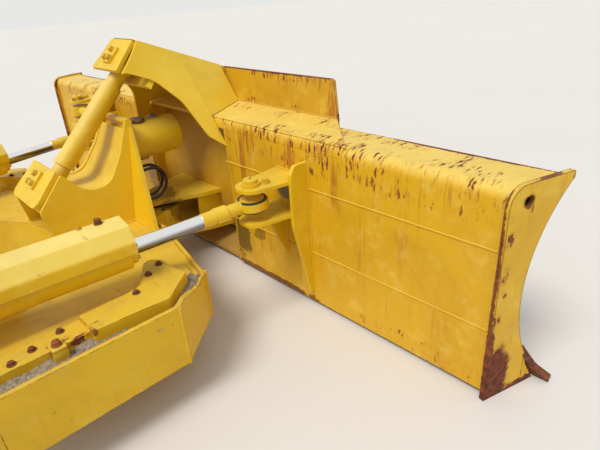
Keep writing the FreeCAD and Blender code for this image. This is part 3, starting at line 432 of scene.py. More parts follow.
class SettledDust(Effect):
    """Pale dust and mud that lie on faces that look up."""

    name = "settled_dust"
    inputs = (("Scale", FLOAT, 7.0), ("Amount", FLOAT, 0.6), ("Cover", FLOAT, 0.5))

    def build(self, graph: Graph, given: Sockets) -> Sockets:
        """Mask the faces that look up and break the mask with noise."""
        up = graph.step(graph.upward(), 0.25, 0.92)
        cloud = graph.noise(graph.place(), given["Scale"], 8.0, 0.68, 0.4)
        cloud = graph.covering(cloud, given["Cover"], 0.14, 0.16)
        return {"Mask": graph.product(up, cloud, given["Amount"], clamp=True)}


class PaintTone(Effect):
    """Old paint: paler on faces that look up, partly from sun fading and partly as a painted highlight, deeper in
    patches, finely mottled.
    """

    name = "paint_tone"
    inputs = (("Paint", COLOUR, (0.8, 0.5, 0.03, 1.0)), ("Pale", COLOUR, (0.9, 0.7, 0.2, 1.0)),
              ("Deep", COLOUR, (0.6, 0.32, 0.02, 1.0)), ("FadeAndHighlight", FLOAT, 0.5))
    outputs = (("Color", COLOUR),)
    deep_share = 0.55
    cloud_share = 0.30
    grain_share = 0.10

    def build(self, graph: Graph, given: Sockets) -> Sockets:
        """Mix the three paint colours by large and fine noise, and pale the faces that look up, which stands for sun
        fading and for a painted highlight.
        """
        place = graph.place()
        deep = graph.step(graph.noise(place, 2.2, 5.0, 0.6, 0.6), 0.42, 0.72)
        colour = graph.blend(graph.product(deep, self.deep_share), given["Paint"], given["Deep"])
        clouds = graph.step(graph.noise(place, 9.0, 7.0, 0.7), 0.48, 0.72)
        colour = graph.blend(graph.product(clouds, self.cloud_share), colour, given["Pale"])
        # Painted highlight, with sun fading: faces that look up are mixed toward the pale colour.
        up = graph.step(graph.upward(), 0.05, 0.95)
        patch = graph.between(graph.noise(place, 4.0, 6.0, 0.65), 0.45, 1.0)
        colour = graph.blend(graph.product(up, patch, given["FadeAndHighlight"]), colour, given["Pale"])
        grain = graph.noise(place, 320.0, 2.0)
        return {"Color": graph.blend(graph.product(grain, self.grain_share), colour, given["Deep"])}


class PaintRelief(Effect):
    """Height of the brushed-on paint, shallow dents and runs."""

    name = "paint_relief"
    inputs = (("Dents", FLOAT, 1.0),)
    outputs = (("Height", FLOAT),)
    fine_height = 0.10
    middle_height = 0.30
    dent_height = 7.0

    def build(self, graph: Graph, given: Sockets) -> Sockets:
        """Add fine, middle and broad noise."""
        place = graph.place()
        fine = graph.product(graph.noise(place, 260.0, 3.0), self.fine_height)
        middle = graph.product(graph.noise(place, 34.0, 4.0), self.middle_height)
        broad = graph.product(given["Dents"], self.dent_height, graph.noise(place, 3.4, 2.0))
        return {"Height": graph.maths("ADD", graph.maths("ADD", fine, middle), broad)}


class Scuffs(Effect):
    """Long thin scratches through the paint, in two directions."""

    name = "scuffs"
    inputs = (("Amount", FLOAT, 1.0),)
    lean = 0.2
    ways = ((0.5, (26.0, 2.2, 80.0)), (-0.35, (70.0, 3.0, 24.0)))

    def build(self, graph: Graph, given: Sockets) -> Sockets:
        """Stretch noise along two slanted lines and keep its peaks."""
        place = graph.place()
        first, second = (
            graph.step(graph.noise(graph.mapped(place, (turn, self.lean, turn), stretch), 1.0, 3.0), 0.70, 0.735)
            for turn, stretch in self.ways)
        patch = graph.step(graph.noise(place, 3.1, 2.0), 0.50, 0.60)
        lines = graph.maths("MAXIMUM", first, second)
        return {"Mask": graph.product(lines, patch, given["Amount"], clamp=True)}


class RustChips(Effect):
    """Many small chips and short slanting streaks where the paint was knocked off a bend."""

    name = "rust_chips"
    outputs = (("Mask", FLOAT), ("Halo", FLOAT))
    scale = 74.0
    turn = (0.16, 0.0, 0.34)
    stretch = (0.26, 1.15, 0.26)
    rarity = 1.5
    largest = 0.64
    streak_scale = 36.0

    def build(self, graph: Graph, given: Sockets) -> Sockets:
        """Draw stretched ragged cells of random size and the thin streaks between them."""
        place = graph.place()
        slanted = graph.mapped(graph.swirled(place, 60.0, 5.0, 0.020), self.turn, self.stretch)
        away, chance = graph.cells(slanted, self.scale)
        crowd = graph.between(graph.step(graph.noise(place, 6.5, 3.0, 0.6), 0.38, 0.60), 0.30, 1.0)
        size = graph.product(graph.maths("POWER", chance, self.rarity), self.largest, crowd)
        inside = graph.maths("SUBTRACT", size, away)
        chips = graph.step(inside, 0.0, 0.10)
        streaks = graph.noise(graph.vectors("MULTIPLY", slanted, (1.0, 2.0, 1.0)), self.streak_scale, 6.0, 0.6)
        streaks = graph.product(graph.step(streaks, 0.61, 0.67), crowd)
        halo = graph.product(graph.step(inside, -0.34, 0.02), crowd)
        return {"Mask": graph.maths("MAXIMUM", chips, streaks, True), "Halo": halo}


class StainZone(Effect):
    """A patch of wear, dirt or painted shade with a ragged border round one place on the machine."""

    name = "stain_zone"
    inputs = (("Centre", VECTOR, (0.0, 0.0, 0.0)), ("Reach", VECTOR, (1.0, 1.0, 1.0)),
              ("Ragged", FLOAT, 1.2), ("Break", FLOAT, 9.0))
    raggedness = 2.2

    def build(self, graph: Graph, given: Sockets) -> Sockets:
        """Measure the distance from the centre in reaches and disturb it with noise."""
        place = graph.place()
        away = graph.vectors("DIVIDE", graph.vectors("SUBTRACT", place, given["Centre"]), given["Reach"])
        lumps = graph.maths("SUBTRACT", graph.noise(place, given["Break"], 9.0, 0.72, 0.5), 0.5)
        shift = graph.product(given["Ragged"], self.raggedness, lumps)
        far = graph.maths("ADD", graph.vectors("LENGTH", away), shift)
        return {"Mask": graph.rest_of(graph.step(far, 0.78, 1.02))}


class BeyondMark(Effect):
    """A clean border across a long piece, such as where a rod's eye begins."""

    name = "beyond_mark"
    inputs = (("Mark", VECTOR, (0.0, 0.0, 0.0)), ("Along", VECTOR, (1.0, 0.0, 0.0)))
    blur = 0.001

    def build(self, graph: Graph, given: Sockets) -> Sockets:
        """Measure how far past the mark a point lies."""
        past = graph.vectors("DOT_PRODUCT", graph.vectors("SUBTRACT", graph.place(), given["Mark"]), given["Along"])
        return {"Mask": graph.step(past, -self.blur, self.blur)}


# ------------------------------------------------------------------- finishes


def srgb(red: int, green: int, blue: int) -> Colour:
    """Turn a colour as it is seen on a screen into a linear one.

    Args:
        red: Red from 0 to 255.
        green: Green from 0 to 255.
        blue: Blue from 0 to 255.

    Returns:
        The linear colour with full alpha.
    """
    parts = []
    for value in (red, green, blue):
        share = value / 255
        parts.append(share / 12.92 if share <= 0.04045 else ((share + 0.055) / 1.055) ** 2.4)
    return (parts[0], parts[1], parts[2], 1.0)


class Slot(Enum):
    """The record's material slots."""

    PAINT = "yellow_paint"
    WORN_PAINT = "worn_paint"
    WORN_STEEL = "worn_steel"
    BLACK_RUBBER = "black_rubber"


class Stain(Enum):
    """What a stained place on the paint looks like; the grey kind is painted shade over a dull grey."""

    RUST = "rust"
    OIL = "oil"
    GREY = "grey"
    CHIPS = "chips"


@dataclass(frozen=True)
class Zone:
    """A stained or shaded place: its kind, centre, reach along each axis and how ragged it is."""

    kind: Stain
    centre: Point
    reach: Point
    ragged: float = 1.2
    broken: float = 9.0
    strength: float = 1.0


RUST_DARK = srgb(80, 42, 24)
RUST_RED = srgb(130, 64, 34)
RUST_PALE = srgb(160, 96, 48)
RUN_BROWN = srgb(170, 90, 28)
MUD = srgb(158, 128, 74)
OLD_PAINT = srgb(214, 164, 34)
DULL_GREY_AND_SHADE = srgb(112, 116, 92)
# Grey-green of painted shade over a dull grey, put between the brackets' ear plates.
DARK_OIL = srgb(62, 50, 26)
SCRAPED_PALE = srgb(158, 134, 100)
SCRAPED_BROWN = srgb(134, 92, 56)


def rust_colour(graph: Graph, grain: Socket, red: tuple[float, float],
                pale: tuple[float, float, float]) -> Socket:
    """Mix the three colours of rust by its grain.

    Args:
        graph: The material's graph.
        grain: The noise that the rust follows.
        red: The grain at which dark rust ends, and at which it is red.
        pale: The grain at which pale rust begins, at which it is full, and how strong it is.

    Returns:
        The rust's colour.
    """
    shade = graph.blend(graph.step(grain, *red), RUST_DARK, RUST_RED)
    start, full, strength = pale
    return graph.blend(graph.product(graph.step(grain, start, full), strength), shade, RUST_PALE)


class Surface(NamedTuple):
    """What a finish hands to the shader, each a socket or a plain value."""

    colour: Source
    rough: Source
    height: Socket | None = None
    metal: Source = 0.0


@dataclass(frozen=True)
class Finish:
    """What every finish has: a name, and a surface from which its material is built."""

    name: str
    shine: ClassVar[float] = 0.5
    relief: ClassVar[float] = 0.5
    depth: ClassVar[float] = 0.0010
    softness: ClassVar[float] = 0.0

    def surface(self, graph: Graph) -> Surface:
        """Lay out the finish's nodes.

        Args:
            graph: The material's graph.

        Returns:
            What the shader is fed.
        """
        raise NotImplementedError

    def material(self) -> bpy.types.Material:
        """Build the material, with its relief and softened edges where it has them.

        Returns:
            The finished material.
        """
        made = bpy.data.materials.new(self.name)
        made.use_nodes = True
        made.node_tree.nodes.clear()
        graph = Graph(made.node_tree)
        shader = graph.node("ShaderNodeBsdfPrincipled")
        output = graph.node("ShaderNodeOutputMaterial")
        graph.feed(output.inputs["Surface"], shader.outputs[0])
        look = self.surface(graph)
        graph.feed(shader.inputs["Base Color"], look.colour)
        graph.feed(shader.inputs["Roughness"], look.rough)
        graph.feed(shader.inputs["Metallic"], look.metal)
        shader.inputs["Specular IOR Level"].default_value = self.shine
        if look.height is not None:
            bump = graph.node("ShaderNodeBump")
            bump.inputs["Strength"].default_value = self.relief
            bump.inputs["Distance"].default_value = self.depth
            graph.feed(bump.inputs["Height"], look.height)
            graph.feed(shader.inputs["Normal"], bump.outputs[0])
            if self.softness > 0:
                soft = graph.node("ShaderNodeBevel", samples=4)
                soft.inputs["Radius"].default_value = self.softness
                graph.feed(bump.inputs["Normal"], soft.outputs[0])
        return made


@dataclass(frozen=True)
class PaintFinish(Finish):
    """Weathered yellow machine paint on steel plate."""

    shine: ClassVar[float] = 0.38
    relief: ClassVar[float] = 0.55
    depth: ClassVar[float] = 0.0012
    softness: ClassVar[float] = 0.0025
    run_share: ClassVar[float] = 0.70
    halo_share: ClassVar[float] = 0.60
    oil_share: ClassVar[float] = 0.86
    paint: Colour = srgb(230, 187, 16)
    pale: Colour = srgb(244, 219, 92)
    deep: Colour = srgb(204, 155, 8)
    # How far faces that look up are paled: partly sun fading, partly a painted highlight.
    fade_and_highlight: float = 0.40
    edge_radius: float = 0.005
    edge_cover: float = 0.44
    edge_break: float = 16.0
    spots: float = 0.35
    spot_scale: float = 34.0
    runs: float = 0.35
    dust: float = 0.45
    dust_cover: float = 0.5
    scuffs: float = 0.4
    gloss: float = 0.46
    dents: float = 1.0
    zones: tuple[Zone, ...] = ()
    rusty_above: tuple[float, float, float] = (0.0, 0.0, 0.0)
    scraped: float = 0.0

    def surface(self, graph: Graph) -> Surface:
        """Lay the paint with its painted highlight on faces that look up, its dust, runs, rust, scraped places and
        stains, the grey ones painted shade, over one another.

        Args:
            graph: The material's graph.

        Returns:
            What the shader is fed.
        """
        place = graph.place()
        colour = PaintTone().put(graph, "Color", Paint=self.paint, Pale=self.pale, Deep=self.deep, FadeAndHighlight=self.fade_and_highlight)
        dust = SettledDust().put(graph, Amount=self.dust, Cover=self.dust_cover)
        colour = graph.blend(dust, colour, MUD)
        spots, runs = self.amounts(graph, place)
        colour = graph.blend(graph.product(RustRuns().put(graph, Amount=runs), self.run_share), colour, RUN_BROWN)
        rust = RustSpots().put(graph, Scale=self.spot_scale, Amount=spots)
        edges = EdgeWear().put(graph, Radius=self.edge_radius, Cover=self.edge_cover, Break=self.edge_break)
        for worn in (edges, Scuffs().put(graph, Amount=self.scuffs)):
            rust = graph.maths("MAXIMUM", rust, worn)
        if self.scraped > 0:
            colour = self.scrape(graph, place, colour)
        colour, rust, oil = self.stain(graph, colour, rust)
        grain = graph.noise(place, 48.0, 6.0, 0.7)
        colour = graph.blend(rust, colour, rust_colour(graph, grain, (0.35, 0.62), (0.58, 0.74, 0.6)))
        rough = graph.between(graph.noise(place, 21.0, 5.0), self.gloss - 0.10, self.gloss + 0.14)
        rough = graph.between(rust, graph.between(dust, rough, 0.9), 0.86)
        if oil is not None:
            colour = graph.blend(graph.product(oil, self.oil_share), colour, DARK_OIL)
            rough = graph.between(oil, rough, 0.28)
        height = PaintRelief().put(graph, "Height", Dents=self.dents)
        pits = graph.product(graph.maths("SUBTRACT", graph.noise(place, 150.0, 4.0, 0.7), 0.75), rust)
        return Surface(colour, rough, graph.maths("ADD", height, pits))

    def amounts(self, graph: Graph, place: Socket) -> tuple[Source, Source]:
        """Give how much is spotted and how much has run, more of both high up where that is asked for.

        Args:
            graph: The material's graph.
            place: The point's place.

        Returns:
            The amount of the spots and that of the runs.
        """
        low, high, more = self.rusty_above
        if more <= 0:
            return self.spots, self.runs
        level = graph.part(place, 2)
        spots = graph.between(graph.step(level, low, high), self.spots, more)
        return spots, graph.between(graph.step(level, low - 0.30, high), self.runs, self.runs * 3.0)

    def scrape(self, graph: Graph, place: Socket, colour: Socket) -> Socket:
        """Scrape the paint off upright lines on the faces that look ahead.

        Args:
            graph: The material's graph.
            place: The point's place.
            colour: The paint's colour.

        Returns:
            The scraped colour.
        """
        lines = graph.noise(graph.vectors("MULTIPLY", place, (1.0, 1.8, 0.10)), 46.0, 7.0, 0.75)
        patch = graph.noise(place, 3.2, 7.0, 0.6)
        bare = graph.step(graph.maths("ADD", graph.product(lines, 0.5), patch), 0.72, 0.86)
        ahead = graph.step(graph.facing(0), 0.05, 0.3)
        tone = graph.blend(graph.step(lines, 0.40, 0.62), SCRAPED_PALE, SCRAPED_BROWN)
        return graph.blend(graph.product(bare, ahead, self.scraped), colour, tone)

    def stain(self, graph: Graph, colour: Socket, rust: Socket) -> tuple[Socket, Socket, Socket | None]:
        """Stain the places of the finish's zones, the grey ones as painted shade.

        Args:
            graph: The material's graph.
            colour: The paint's colour.
            rust: The rust's mask.

        Returns:
            The stained colour, the wider rust, and the oil's mask where there is oil.
        """
        oil, chips = None, None
        for zone in self.zones:
            mask = StainZone().put(graph, Centre=zone.centre, Reach=zone.reach, Ragged=zone.ragged, Break=zone.broken)
            mask = graph.product(mask, zone.strength)
            if zone.kind is Stain.RUST:
                rust = graph.maths("MAXIMUM", rust, mask)
            elif zone.kind is Stain.CHIPS:
                if chips is None:
                    chips = RustChips().put(graph)
                halo = graph.product(mask, chips.node.outputs["Halo"])
                colour = graph.blend(graph.product(halo, self.halo_share), colour, RUN_BROWN)
                rust = graph.maths("MAXIMUM", rust, graph.product(mask, chips))
            # Painted shade: the grey zones turn the paint grey-green where shade falls between the ear plates.
            elif zone.kind is Stain.GREY:
                colour = graph.blend(mask, colour, DULL_GREY_AND_SHADE)
            else:
                oil = mask if oil is None else graph.maths("MAXIMUM", oil, mask)
        return colour, rust, oil


@dataclass(frozen=True)
class SteelFinish(Finish):
    """Bare steel: ground bright, brown with rust, or greasy and dark."""

    relief: ClassVar[float] = 0.6
    softness: ClassVar[float] = 0.0015
    tarnish: ClassVar[Colour] = srgb(72, 66, 60)
    steel: Colour = srgb(120, 112, 104)
    rust: float = 0.5
    rough: float = 0.42
    grain: float = 60.0
    paint_left: float = 0.0
    metallic: float = 0.85

    def surface(self, graph: Graph) -> Surface:
        """Lay rust, flakes of old paint and dust over the steel.

        Args:
            graph: The material's graph.

        Returns:
            What the shader is fed.
        """
        place = graph.place()
        rust = graph.covering(graph.noise(place, 15.0, 9.0, 0.72, 0.4), self.rust, 0.10, 0.08)
        fine = graph.noise(place, self.grain, 6.0, 0.7)
        steel = graph.blend(graph.product(graph.noise(place, 9.0, 4.0), 0.45), self.steel, self.tarnish)
        colour = graph.blend(rust, steel, rust_colour(graph, fine, (0.38, 0.62), (0.60, 0.75, 0.5)))
        metal = graph.product(graph.rest_of(rust), self.metallic, clamp=True)
        if self.paint_left > 0:
            flakes = graph.covering(graph.noise(place, 24.0, 8.0, 0.7), self.paint_left, 0.03, 0.03)
            colour = graph.blend(flakes, colour, OLD_PAINT)
            metal = graph.product(metal, graph.rest_of(flakes), clamp=True)
        colour = graph.blend(SettledDust().put(graph, Amount=0.35, Scale=18.0), colour, MUD)
        rough = graph.between(rust, graph.between(fine, self.rough - 0.1, self.rough + 0.14), 0.88)
        return Surface(colour, rough, graph.maths("ADD", fine, graph.product(rust, 0.5)), metal)


@dataclass(frozen=True)
class RodFinish(Finish):
    """Chromed rod whose forged eye, past a mark, is painted, and whose chrome has a painted reflection of the ground
    on its underside.
    """

    softness: ClassVar[float] = 0.003
    chrome: ClassVar[Colour] = srgb(246, 246, 246)
    film: ClassVar[Colour] = srgb(198, 192, 180)
    # Colour of the painted ground reflection on the chrome's underside.
    ground: ClassVar[Colour] = srgb(104, 92, 76)
    mark: Point
    along: Point
    eye: PaintFinish

    def surface(self, graph: Graph) -> Surface:
        """Put the eye's paint past the mark and filmy chrome before it, its underside darkened by a painted
        reflection of the ground.

        Args:
            graph: The material's graph.

        Returns:
            What the shader is fed.
        """
        painted = BeyondMark().put(graph, Mark=self.mark, Along=self.along)
        paint = self.eye.surface(graph)
        film = graph.noise(graph.place(), 7.0, 6.0, 0.7, 0.6)
        chrome = graph.blend(graph.product(graph.step(film, 0.5, 0.8), 0.5), self.chrome, self.film)
        # Painted reflection: faces that look down are mixed toward the ground's brown.
        below = graph.rest_of(graph.step(graph.upward(), -0.05, 0.50))
        chrome = graph.blend(graph.product(below, 0.85), chrome, self.ground)
        bright = graph.between(graph.step(film, 0.45, 0.8), 0.10, 0.26)
        return Surface(graph.blend(painted, chrome, paint.colour), graph.between(painted, bright, paint.rough),
                       graph.product(paint.height, painted), graph.rest_of(painted))


@dataclass(frozen=True)
class RubberFinish(Finish):
    """Black rubber of hoses and seals, dusty on top."""

    depth: ClassVar[float] = 0.0006
    black: ClassVar[Colour] = srgb(30, 29, 28)
    faded: ClassVar[Colour] = srgb(66, 62, 56)
    dust: float = 0.5

    def surface(self, graph: Graph) -> Surface:
        """Fade the rubber in clouds and dust it.

        Args:
            graph: The material's graph.

        Returns:
            What the shader is fed.
        """
        place = graph.place()
        cloud = graph.noise(place, 26.0, 6.0, 0.65)
        colour = graph.blend(graph.product(cloud, 0.4), self.black, self.faded)
        dust = SettledDust().put(graph, Amount=self.dust, Scale=22.0, Cover=0.55)
        return Surface(graph.blend(dust, colour, MUD), graph.between(cloud, 0.46, 0.72),
                       graph.noise(place, 420.0, 3.0))


@dataclass(frozen=True)
class SoilFinish(Finish):
    """Dry dirt packed in corners and grooves."""

    relief: ClassVar[float] = 0.8
    depth: ClassVar[float] = 0.003
    light: ClassVar[Colour] = srgb(186, 174, 146)
    dark: ClassVar[Colour] = srgb(112, 98, 76)
    pebble_scale: ClassVar[float] = 180.0

    def surface(self, graph: Graph) -> Surface:
        """Mix light and dark soil by lumps, with a little rust and small pebbles.

        Args:
            graph: The material's graph.

        Returns:
            What the shader is fed.
        """
        place = graph.place()
        lumps = graph.noise(place, 90.0, 8.0, 0.72)
        colour = graph.blend(graph.step(lumps, 0.3, 0.7), self.dark, self.light)
        colour = graph.blend(graph.product(graph.noise(place, 12.0, 4.0), 0.22), colour, RUST_RED)
        pebbles, _ = graph.cells(place, self.pebble_scale)
        return Surface(colour, 0.95, graph.maths("SUBTRACT", lumps, pebbles))


@dataclass(frozen=True)
class FloorFinish(Finish):
    """Pale, matt studio floor."""

    light: ClassVar[Colour] = srgb(226, 222, 214)
    dark: ClassVar[Colour] = srgb(206, 200, 190)

    def surface(self, graph: Graph) -> Surface:
        """Cloud the floor a little."""
        cloud = graph.noise(graph.place(), 0.7, 6.0, 0.6)
        return Surface(graph.blend(graph.product(cloud, 0.35), self.light, self.dark), 0.95)


# ------------------------------------------------------------ modelling steps


def only(obj: bpy.types.Object) -> None:
    """Select one object alone and make it active."""
    bpy.ops.object.select_all(action="DESELECT")
    obj.select_set(True)
    bpy.context.view_layer.objects.active = obj


@contextmanager
def faces(obj: bpy.types.Object, wanted: Callable[[bpy.types.MeshPolygon], bool]) -> Iterator[None]:
    """Open an object in edit mode with some of its faces selected.

    Args:
        obj: The object.
        wanted: Says of a face whether it is selected.
    """
    only(obj)
    bpy.ops.object.mode_set(mode="EDIT")
    bpy.ops.mesh.select_mode(type="FACE")
    bpy.ops.mesh.select_all(action="DESELECT")
    bpy.ops.object.mode_set(mode="OBJECT")
    for polygon in obj.data.polygons:
        polygon.select = wanted(polygon)
    bpy.ops.object.mode_set(mode="EDIT")
    yield
    bpy.ops.object.mode_set(mode="OBJECT")


def top_face(polygon: bpy.types.MeshPolygon) -> bool:
    """Say whether a face looks straight up and has many corners."""
    return polygon.normal.z > 0.99 and len(polygon.vertices) > 4


def cylinder(radius: float, depth: float, sides: int = 24, low: float = 0.0) -> bpy.types.Object:
    """Add a cylinder that stands on a level.

    Args:
        radius: Its radius.
        depth: Its height.
        sides: How many sides it has.
        low: The level of its foot.

    Returns:
        The new object.
    """
    bpy.ops.object.select_all(action="DESELECT")
    bpy.ops.mesh.primitive_cylinder_add(vertices=sides, radius=radius, depth=depth, location=(0, 0, low + depth / 2))
    made = bpy.context.active_object
    bpy.ops.object.transform_apply(location=True, rotation=True, scale=True)
    return made


def block(size: Point, centre: Point) -> bpy.types.Object:
    """Add a box.

    Args:
        size: Its three lengths.
        centre: Its middle.

    Returns:
        The new object.
    """
    bpy.ops.object.select_all(action="DESELECT")
    bpy.ops.mesh.primitive_cube_add(size=1.0, location=centre)
    made = bpy.context.active_object
    made.scale = size
    bpy.ops.object.transform_apply(location=True, rotation=True, scale=True)
    return made


def bevelled(obj: bpy.types.Object, width: float, segments: int = 2, angle: float = 30.0) -> bpy.types.Object:
    """Round an object's sharp edges.

    Args:
        obj: The object.
        width: The rounding's width.
        segments: How many steps it has.
        angle: Edges sharper than this many degrees are rounded.

    Returns:
        The same object.
    """
    only(obj)
    edge = obj.modifiers.new("edge", "BEVEL")
    edge.width = width
    edge.segments = segments
    edge.limit_method = "ANGLE"
    edge.angle_limit = math.radians(angle)
    bpy.ops.object.modifier_apply(modifier="edge")
    return obj


def joined(name: str, parts: Sequence[bpy.types.Object]) -> bpy.types.Object:
    """Join objects into one.

    Args:
        name: The name of the joined object.
        parts: The objects.

    Returns:
        The joined object.
    """
    bpy.ops.object.select_all(action="DESELECT")
    for part in parts:
        part.select_set(True)
    bpy.context.view_layer.objects.active = parts[0]
    if len(parts) > 1:
        bpy.ops.object.join()
    made = bpy.context.active_object
    made.name = name
    made.data.name = name
    return made


def put(obj: bpy.types.Object, place: Matrix) -> bpy.types.Object:
    """Move a model's mesh to its place, so that the object itself stays at the origin."""
    obj.data.transform(place)
    obj.data.update()
    return obj


def twin(obj: bpy.types.Object, place: Matrix) -> bpy.types.Object:
    """Copy a model with a mesh of its own and move the copy's mesh.

    Args:
        obj: The model.
        place: Where the copy goes.

    Returns:
        The copy.
    """
    made = bpy.data.objects.new(obj.name, obj.data.copy())
    bpy.context.scene.collection.objects.link(made)
    return put(made, place)


def drop(obj: bpy.types.Object) -> None:
    """Remove a model that was only copied from."""
    mesh = obj.data
    bpy.data.objects.remove(obj)
    bpy.data.meshes.remove(mesh)


def seat(place: Point, up: Sequence[float], spin: float = 0.0) -> Matrix:
    """Give the matrix that stands a model on a face.

    Args:
        place: The point on the face.
        up: The way that the face looks.
        spin: A turn about that way in degrees.

    Returns:
        The matrix.
    """
    turn = Vector(up).normalized().to_track_quat("Z", "Y").to_matrix().to_4x4()
    return Matrix.Translation(Vector(place)) @ turn @ Matrix.Rotation(math.radians(spin), 4, "Z")


def smooth(obj: bpy.types.Object, angle: float = SMOOTH_ANGLE) -> None:
    """Shade an object smooth up to an angle in degrees."""
    only(obj)
    bpy.ops.object.shade_smooth_by_angle(angle=math.radians(angle))


def finish_piece(obj: bpy.types.Object, body: str, material: bpy.types.Material,
                 angle: float = SMOOTH_ANGLE) -> bpy.types.Object:
    """Give a piece its material, its shading and the body that it rides on.

    Args:
        obj: The piece.
        body: The CAD body.
        material: The material.
        angle: The angle up to which it is shaded smooth.

    Returns:
        The piece.
    """
    obj.data.materials.clear()
    obj.data.materials.append(material)
    smooth(obj, angle)
    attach(obj, body)
    log.info("piece %s on %s: %d faces", obj.name, body, len(obj.data.polygons))
    return obj


def copied(name: str, pattern: bpy.types.Object, places: Sequence[Matrix]) -> bpy.types.Object:
    """Copy a model to several places, join the copies and remove the model.

    Args:
        name: The joined piece's name.
        pattern: The model.
        places: Where each copy goes.

    Returns:
        The joined piece.
    """
    copies = [twin(pattern, place) for place in places]
    drop(pattern)
    return joined(name, copies)


@dataclass
class Fitting:
    """A small part that is modelled once and copied to its places."""

    def model(self) -> bpy.types.Object:
        """Model the part once, standing on the origin.

        Returns:
            The model.
        """
        raise NotImplementedError

    def group(self, name: str, places: Sequence[Spot]) -> bpy.types.Object:
        """Copy the part to several places and join the copies.

        Args:
            name: The joined piece's name.
            places: A point, the way that the face looks and, where it counts, a spin in degrees for each.

        Returns:
            The joined piece.
        """
        return copied(name, self.model(), [seat(*place) for place in places])


@dataclass
class HexBolt(Fitting):
    """A hexagon bolt's head with its washer, standing on a face."""

    across: float = 0.024
    head: float = 0.012
    washer: float = 0.019
    washer_t: float = 0.003
    nut: bool = False

    def model(self) -> bpy.types.Object:
        """Model the head or nut on its washer.

        Returns:
            The bolt.
        """
        head = cylinder(self.across / math.sqrt(3), self.head, 6, self.washer_t)
        with faces(head, top_face):
            bpy.ops.mesh.inset(thickness=self.across * 0.06, depth=self.head * 0.10)
            if self.nut:
                bpy.ops.mesh.inset(thickness=self.across * 0.16, depth=0.0)
                bpy.ops.mesh.extrude_region_move(TRANSFORM_OT_translate={"value": (0, 0, self.head * 0.30)})
            else:
                bpy.ops.mesh.inset(thickness=self.across * 0.10, depth=-self.head * 0.06)
        washer = cylinder(self.washer, self.washer_t, 20)
        with faces(washer, top_face):
            bpy.ops.mesh.inset(thickness=self.washer * 0.10, depth=self.washer_t * 0.15)
        return joined("bolt", [head, washer])


@dataclass
class GreaseNipple(Fitting):
    """A small grease nipple with its hexagon foot."""

    across: float = 0.010
    height: float = 0.014

    def model(self) -> bpy.types.Object:
        """Model the foot, the neck and the ball on it.

        Returns:
            The nipple.
        """
        foot = cylinder(self.across / 2, self.height * 0.35, 6)
        neck = cylinder(self.across * 0.26, self.height * 0.45, 12, self.height * 0.35)
        with faces(neck, top_face):
            for rise, size in ((0.08, 1.45), (0.12, 0.6)):
                bpy.ops.mesh.extrude_region_move(TRANSFORM_OT_translate={"value": (0, 0, self.height * rise)})
                bpy.ops.transform.resize(value=(size, size, 1))
        return joined("nipple", [foot, neck])


@dataclass
class WeldBead:
    """A fillet weld's rippled bead."""

    width: float = 0.012
    pitch: float = 0.005
    ripples: int = 12
    swell: float = 1.16
    spin: float = 1.9

    def unit(self) -> bpy.types.Object:
        """Model a short bead along Z, one ripple after the other.

        Returns:
            The short bead.
        """
        bpy.ops.object.select_all(action="DESELECT")
        bpy.ops.mesh.primitive_circle_add(vertices=8, radius=self.width / 2, fill_type="NGON")
        made = bpy.context.active_object
        with faces(made, lambda polygon: True):
            for ripple in range(self.ripples):
                size = self.swell if ripple % 2 == 0 else 1 / self.swell
                bpy.ops.mesh.extrude_region_move(TRANSFORM_OT_translate={"value": (0, 0, self.pitch)})
                bpy.ops.transform.resize(value=(size, size, 1))
            bpy.ops.mesh.select_all(action="SELECT")
            bpy.ops.mesh.normals_make_consistent(inside=False)
        return made

    def group(self, name: str, runs: Sequence[Run]) -> bpy.types.Object:
        """Lay beads along straight lines and join them.

        Args:
            name: The joined piece's name.
            runs: The two ends of each bead.

        Returns:
            The joined piece.
        """
        length = self.ripples * self.pitch
        places = []
        for start, stop in runs:
            way = Vector(stop) - Vector(start)
            count = max(1, round(way.length / length))
            stretch = way.length / (count * length)
            for index in range(count):
                along = Matrix.Translation((0, 0, index * length * stretch))
                places.append(seat(start, way) @ along @ Matrix.Scale(stretch, 4, (0, 0, 1))
                              @ Matrix.Rotation(self.spin * index, 4, "Z"))
        return copied(name, self.unit(), places)


def ring(outer: float, inner: float, thick: float, rounding: float) -> bpy.types.Object:
    """Turn a ring whose axis is Z and whose foot is at the origin.

    Args:
        outer: Its outer radius.
        inner: Its inner radius.
        thick: Its height.
        rounding: The width of its rounded edges.

    Returns:
        The ring.
    """
    made = cylinder(outer, thick, 40)
    with faces(made, lambda polygon: len(polygon.vertices) > 4):
        bpy.ops.mesh.inset(thickness=outer - inner)
        bpy.ops.mesh.bridge_edge_loops()
    return bevelled(made, rounding, 2, 50)


# -------------------------------------------------------------------- palette


def angle_pin(side: int) -> Vector:
    """Give the middle of an angle cylinder's rod eye, side -1 for the right."""
    return Vector((2.324, side * 0.906, 0.280))


def angle_base(side: int) -> Vector:
    """Give the middle of an angle cylinder's base pin, side -1 for the right."""
    return Vector((0.960, side * 0.718, 0.230))


TILT_BASE = Vector((2.290, 0.0, 0.415))
TILT_PIN = Vector((2.334, 0.906, 0.450))
LINK_UP = Vector((math.sqrt(0.5), 0.0, math.sqrt(0.5)))
LINK_LOW = Vector((1.79, 0.0, 0.3))
LINK_TOP = Vector((2.29, 0.0, 0.8))

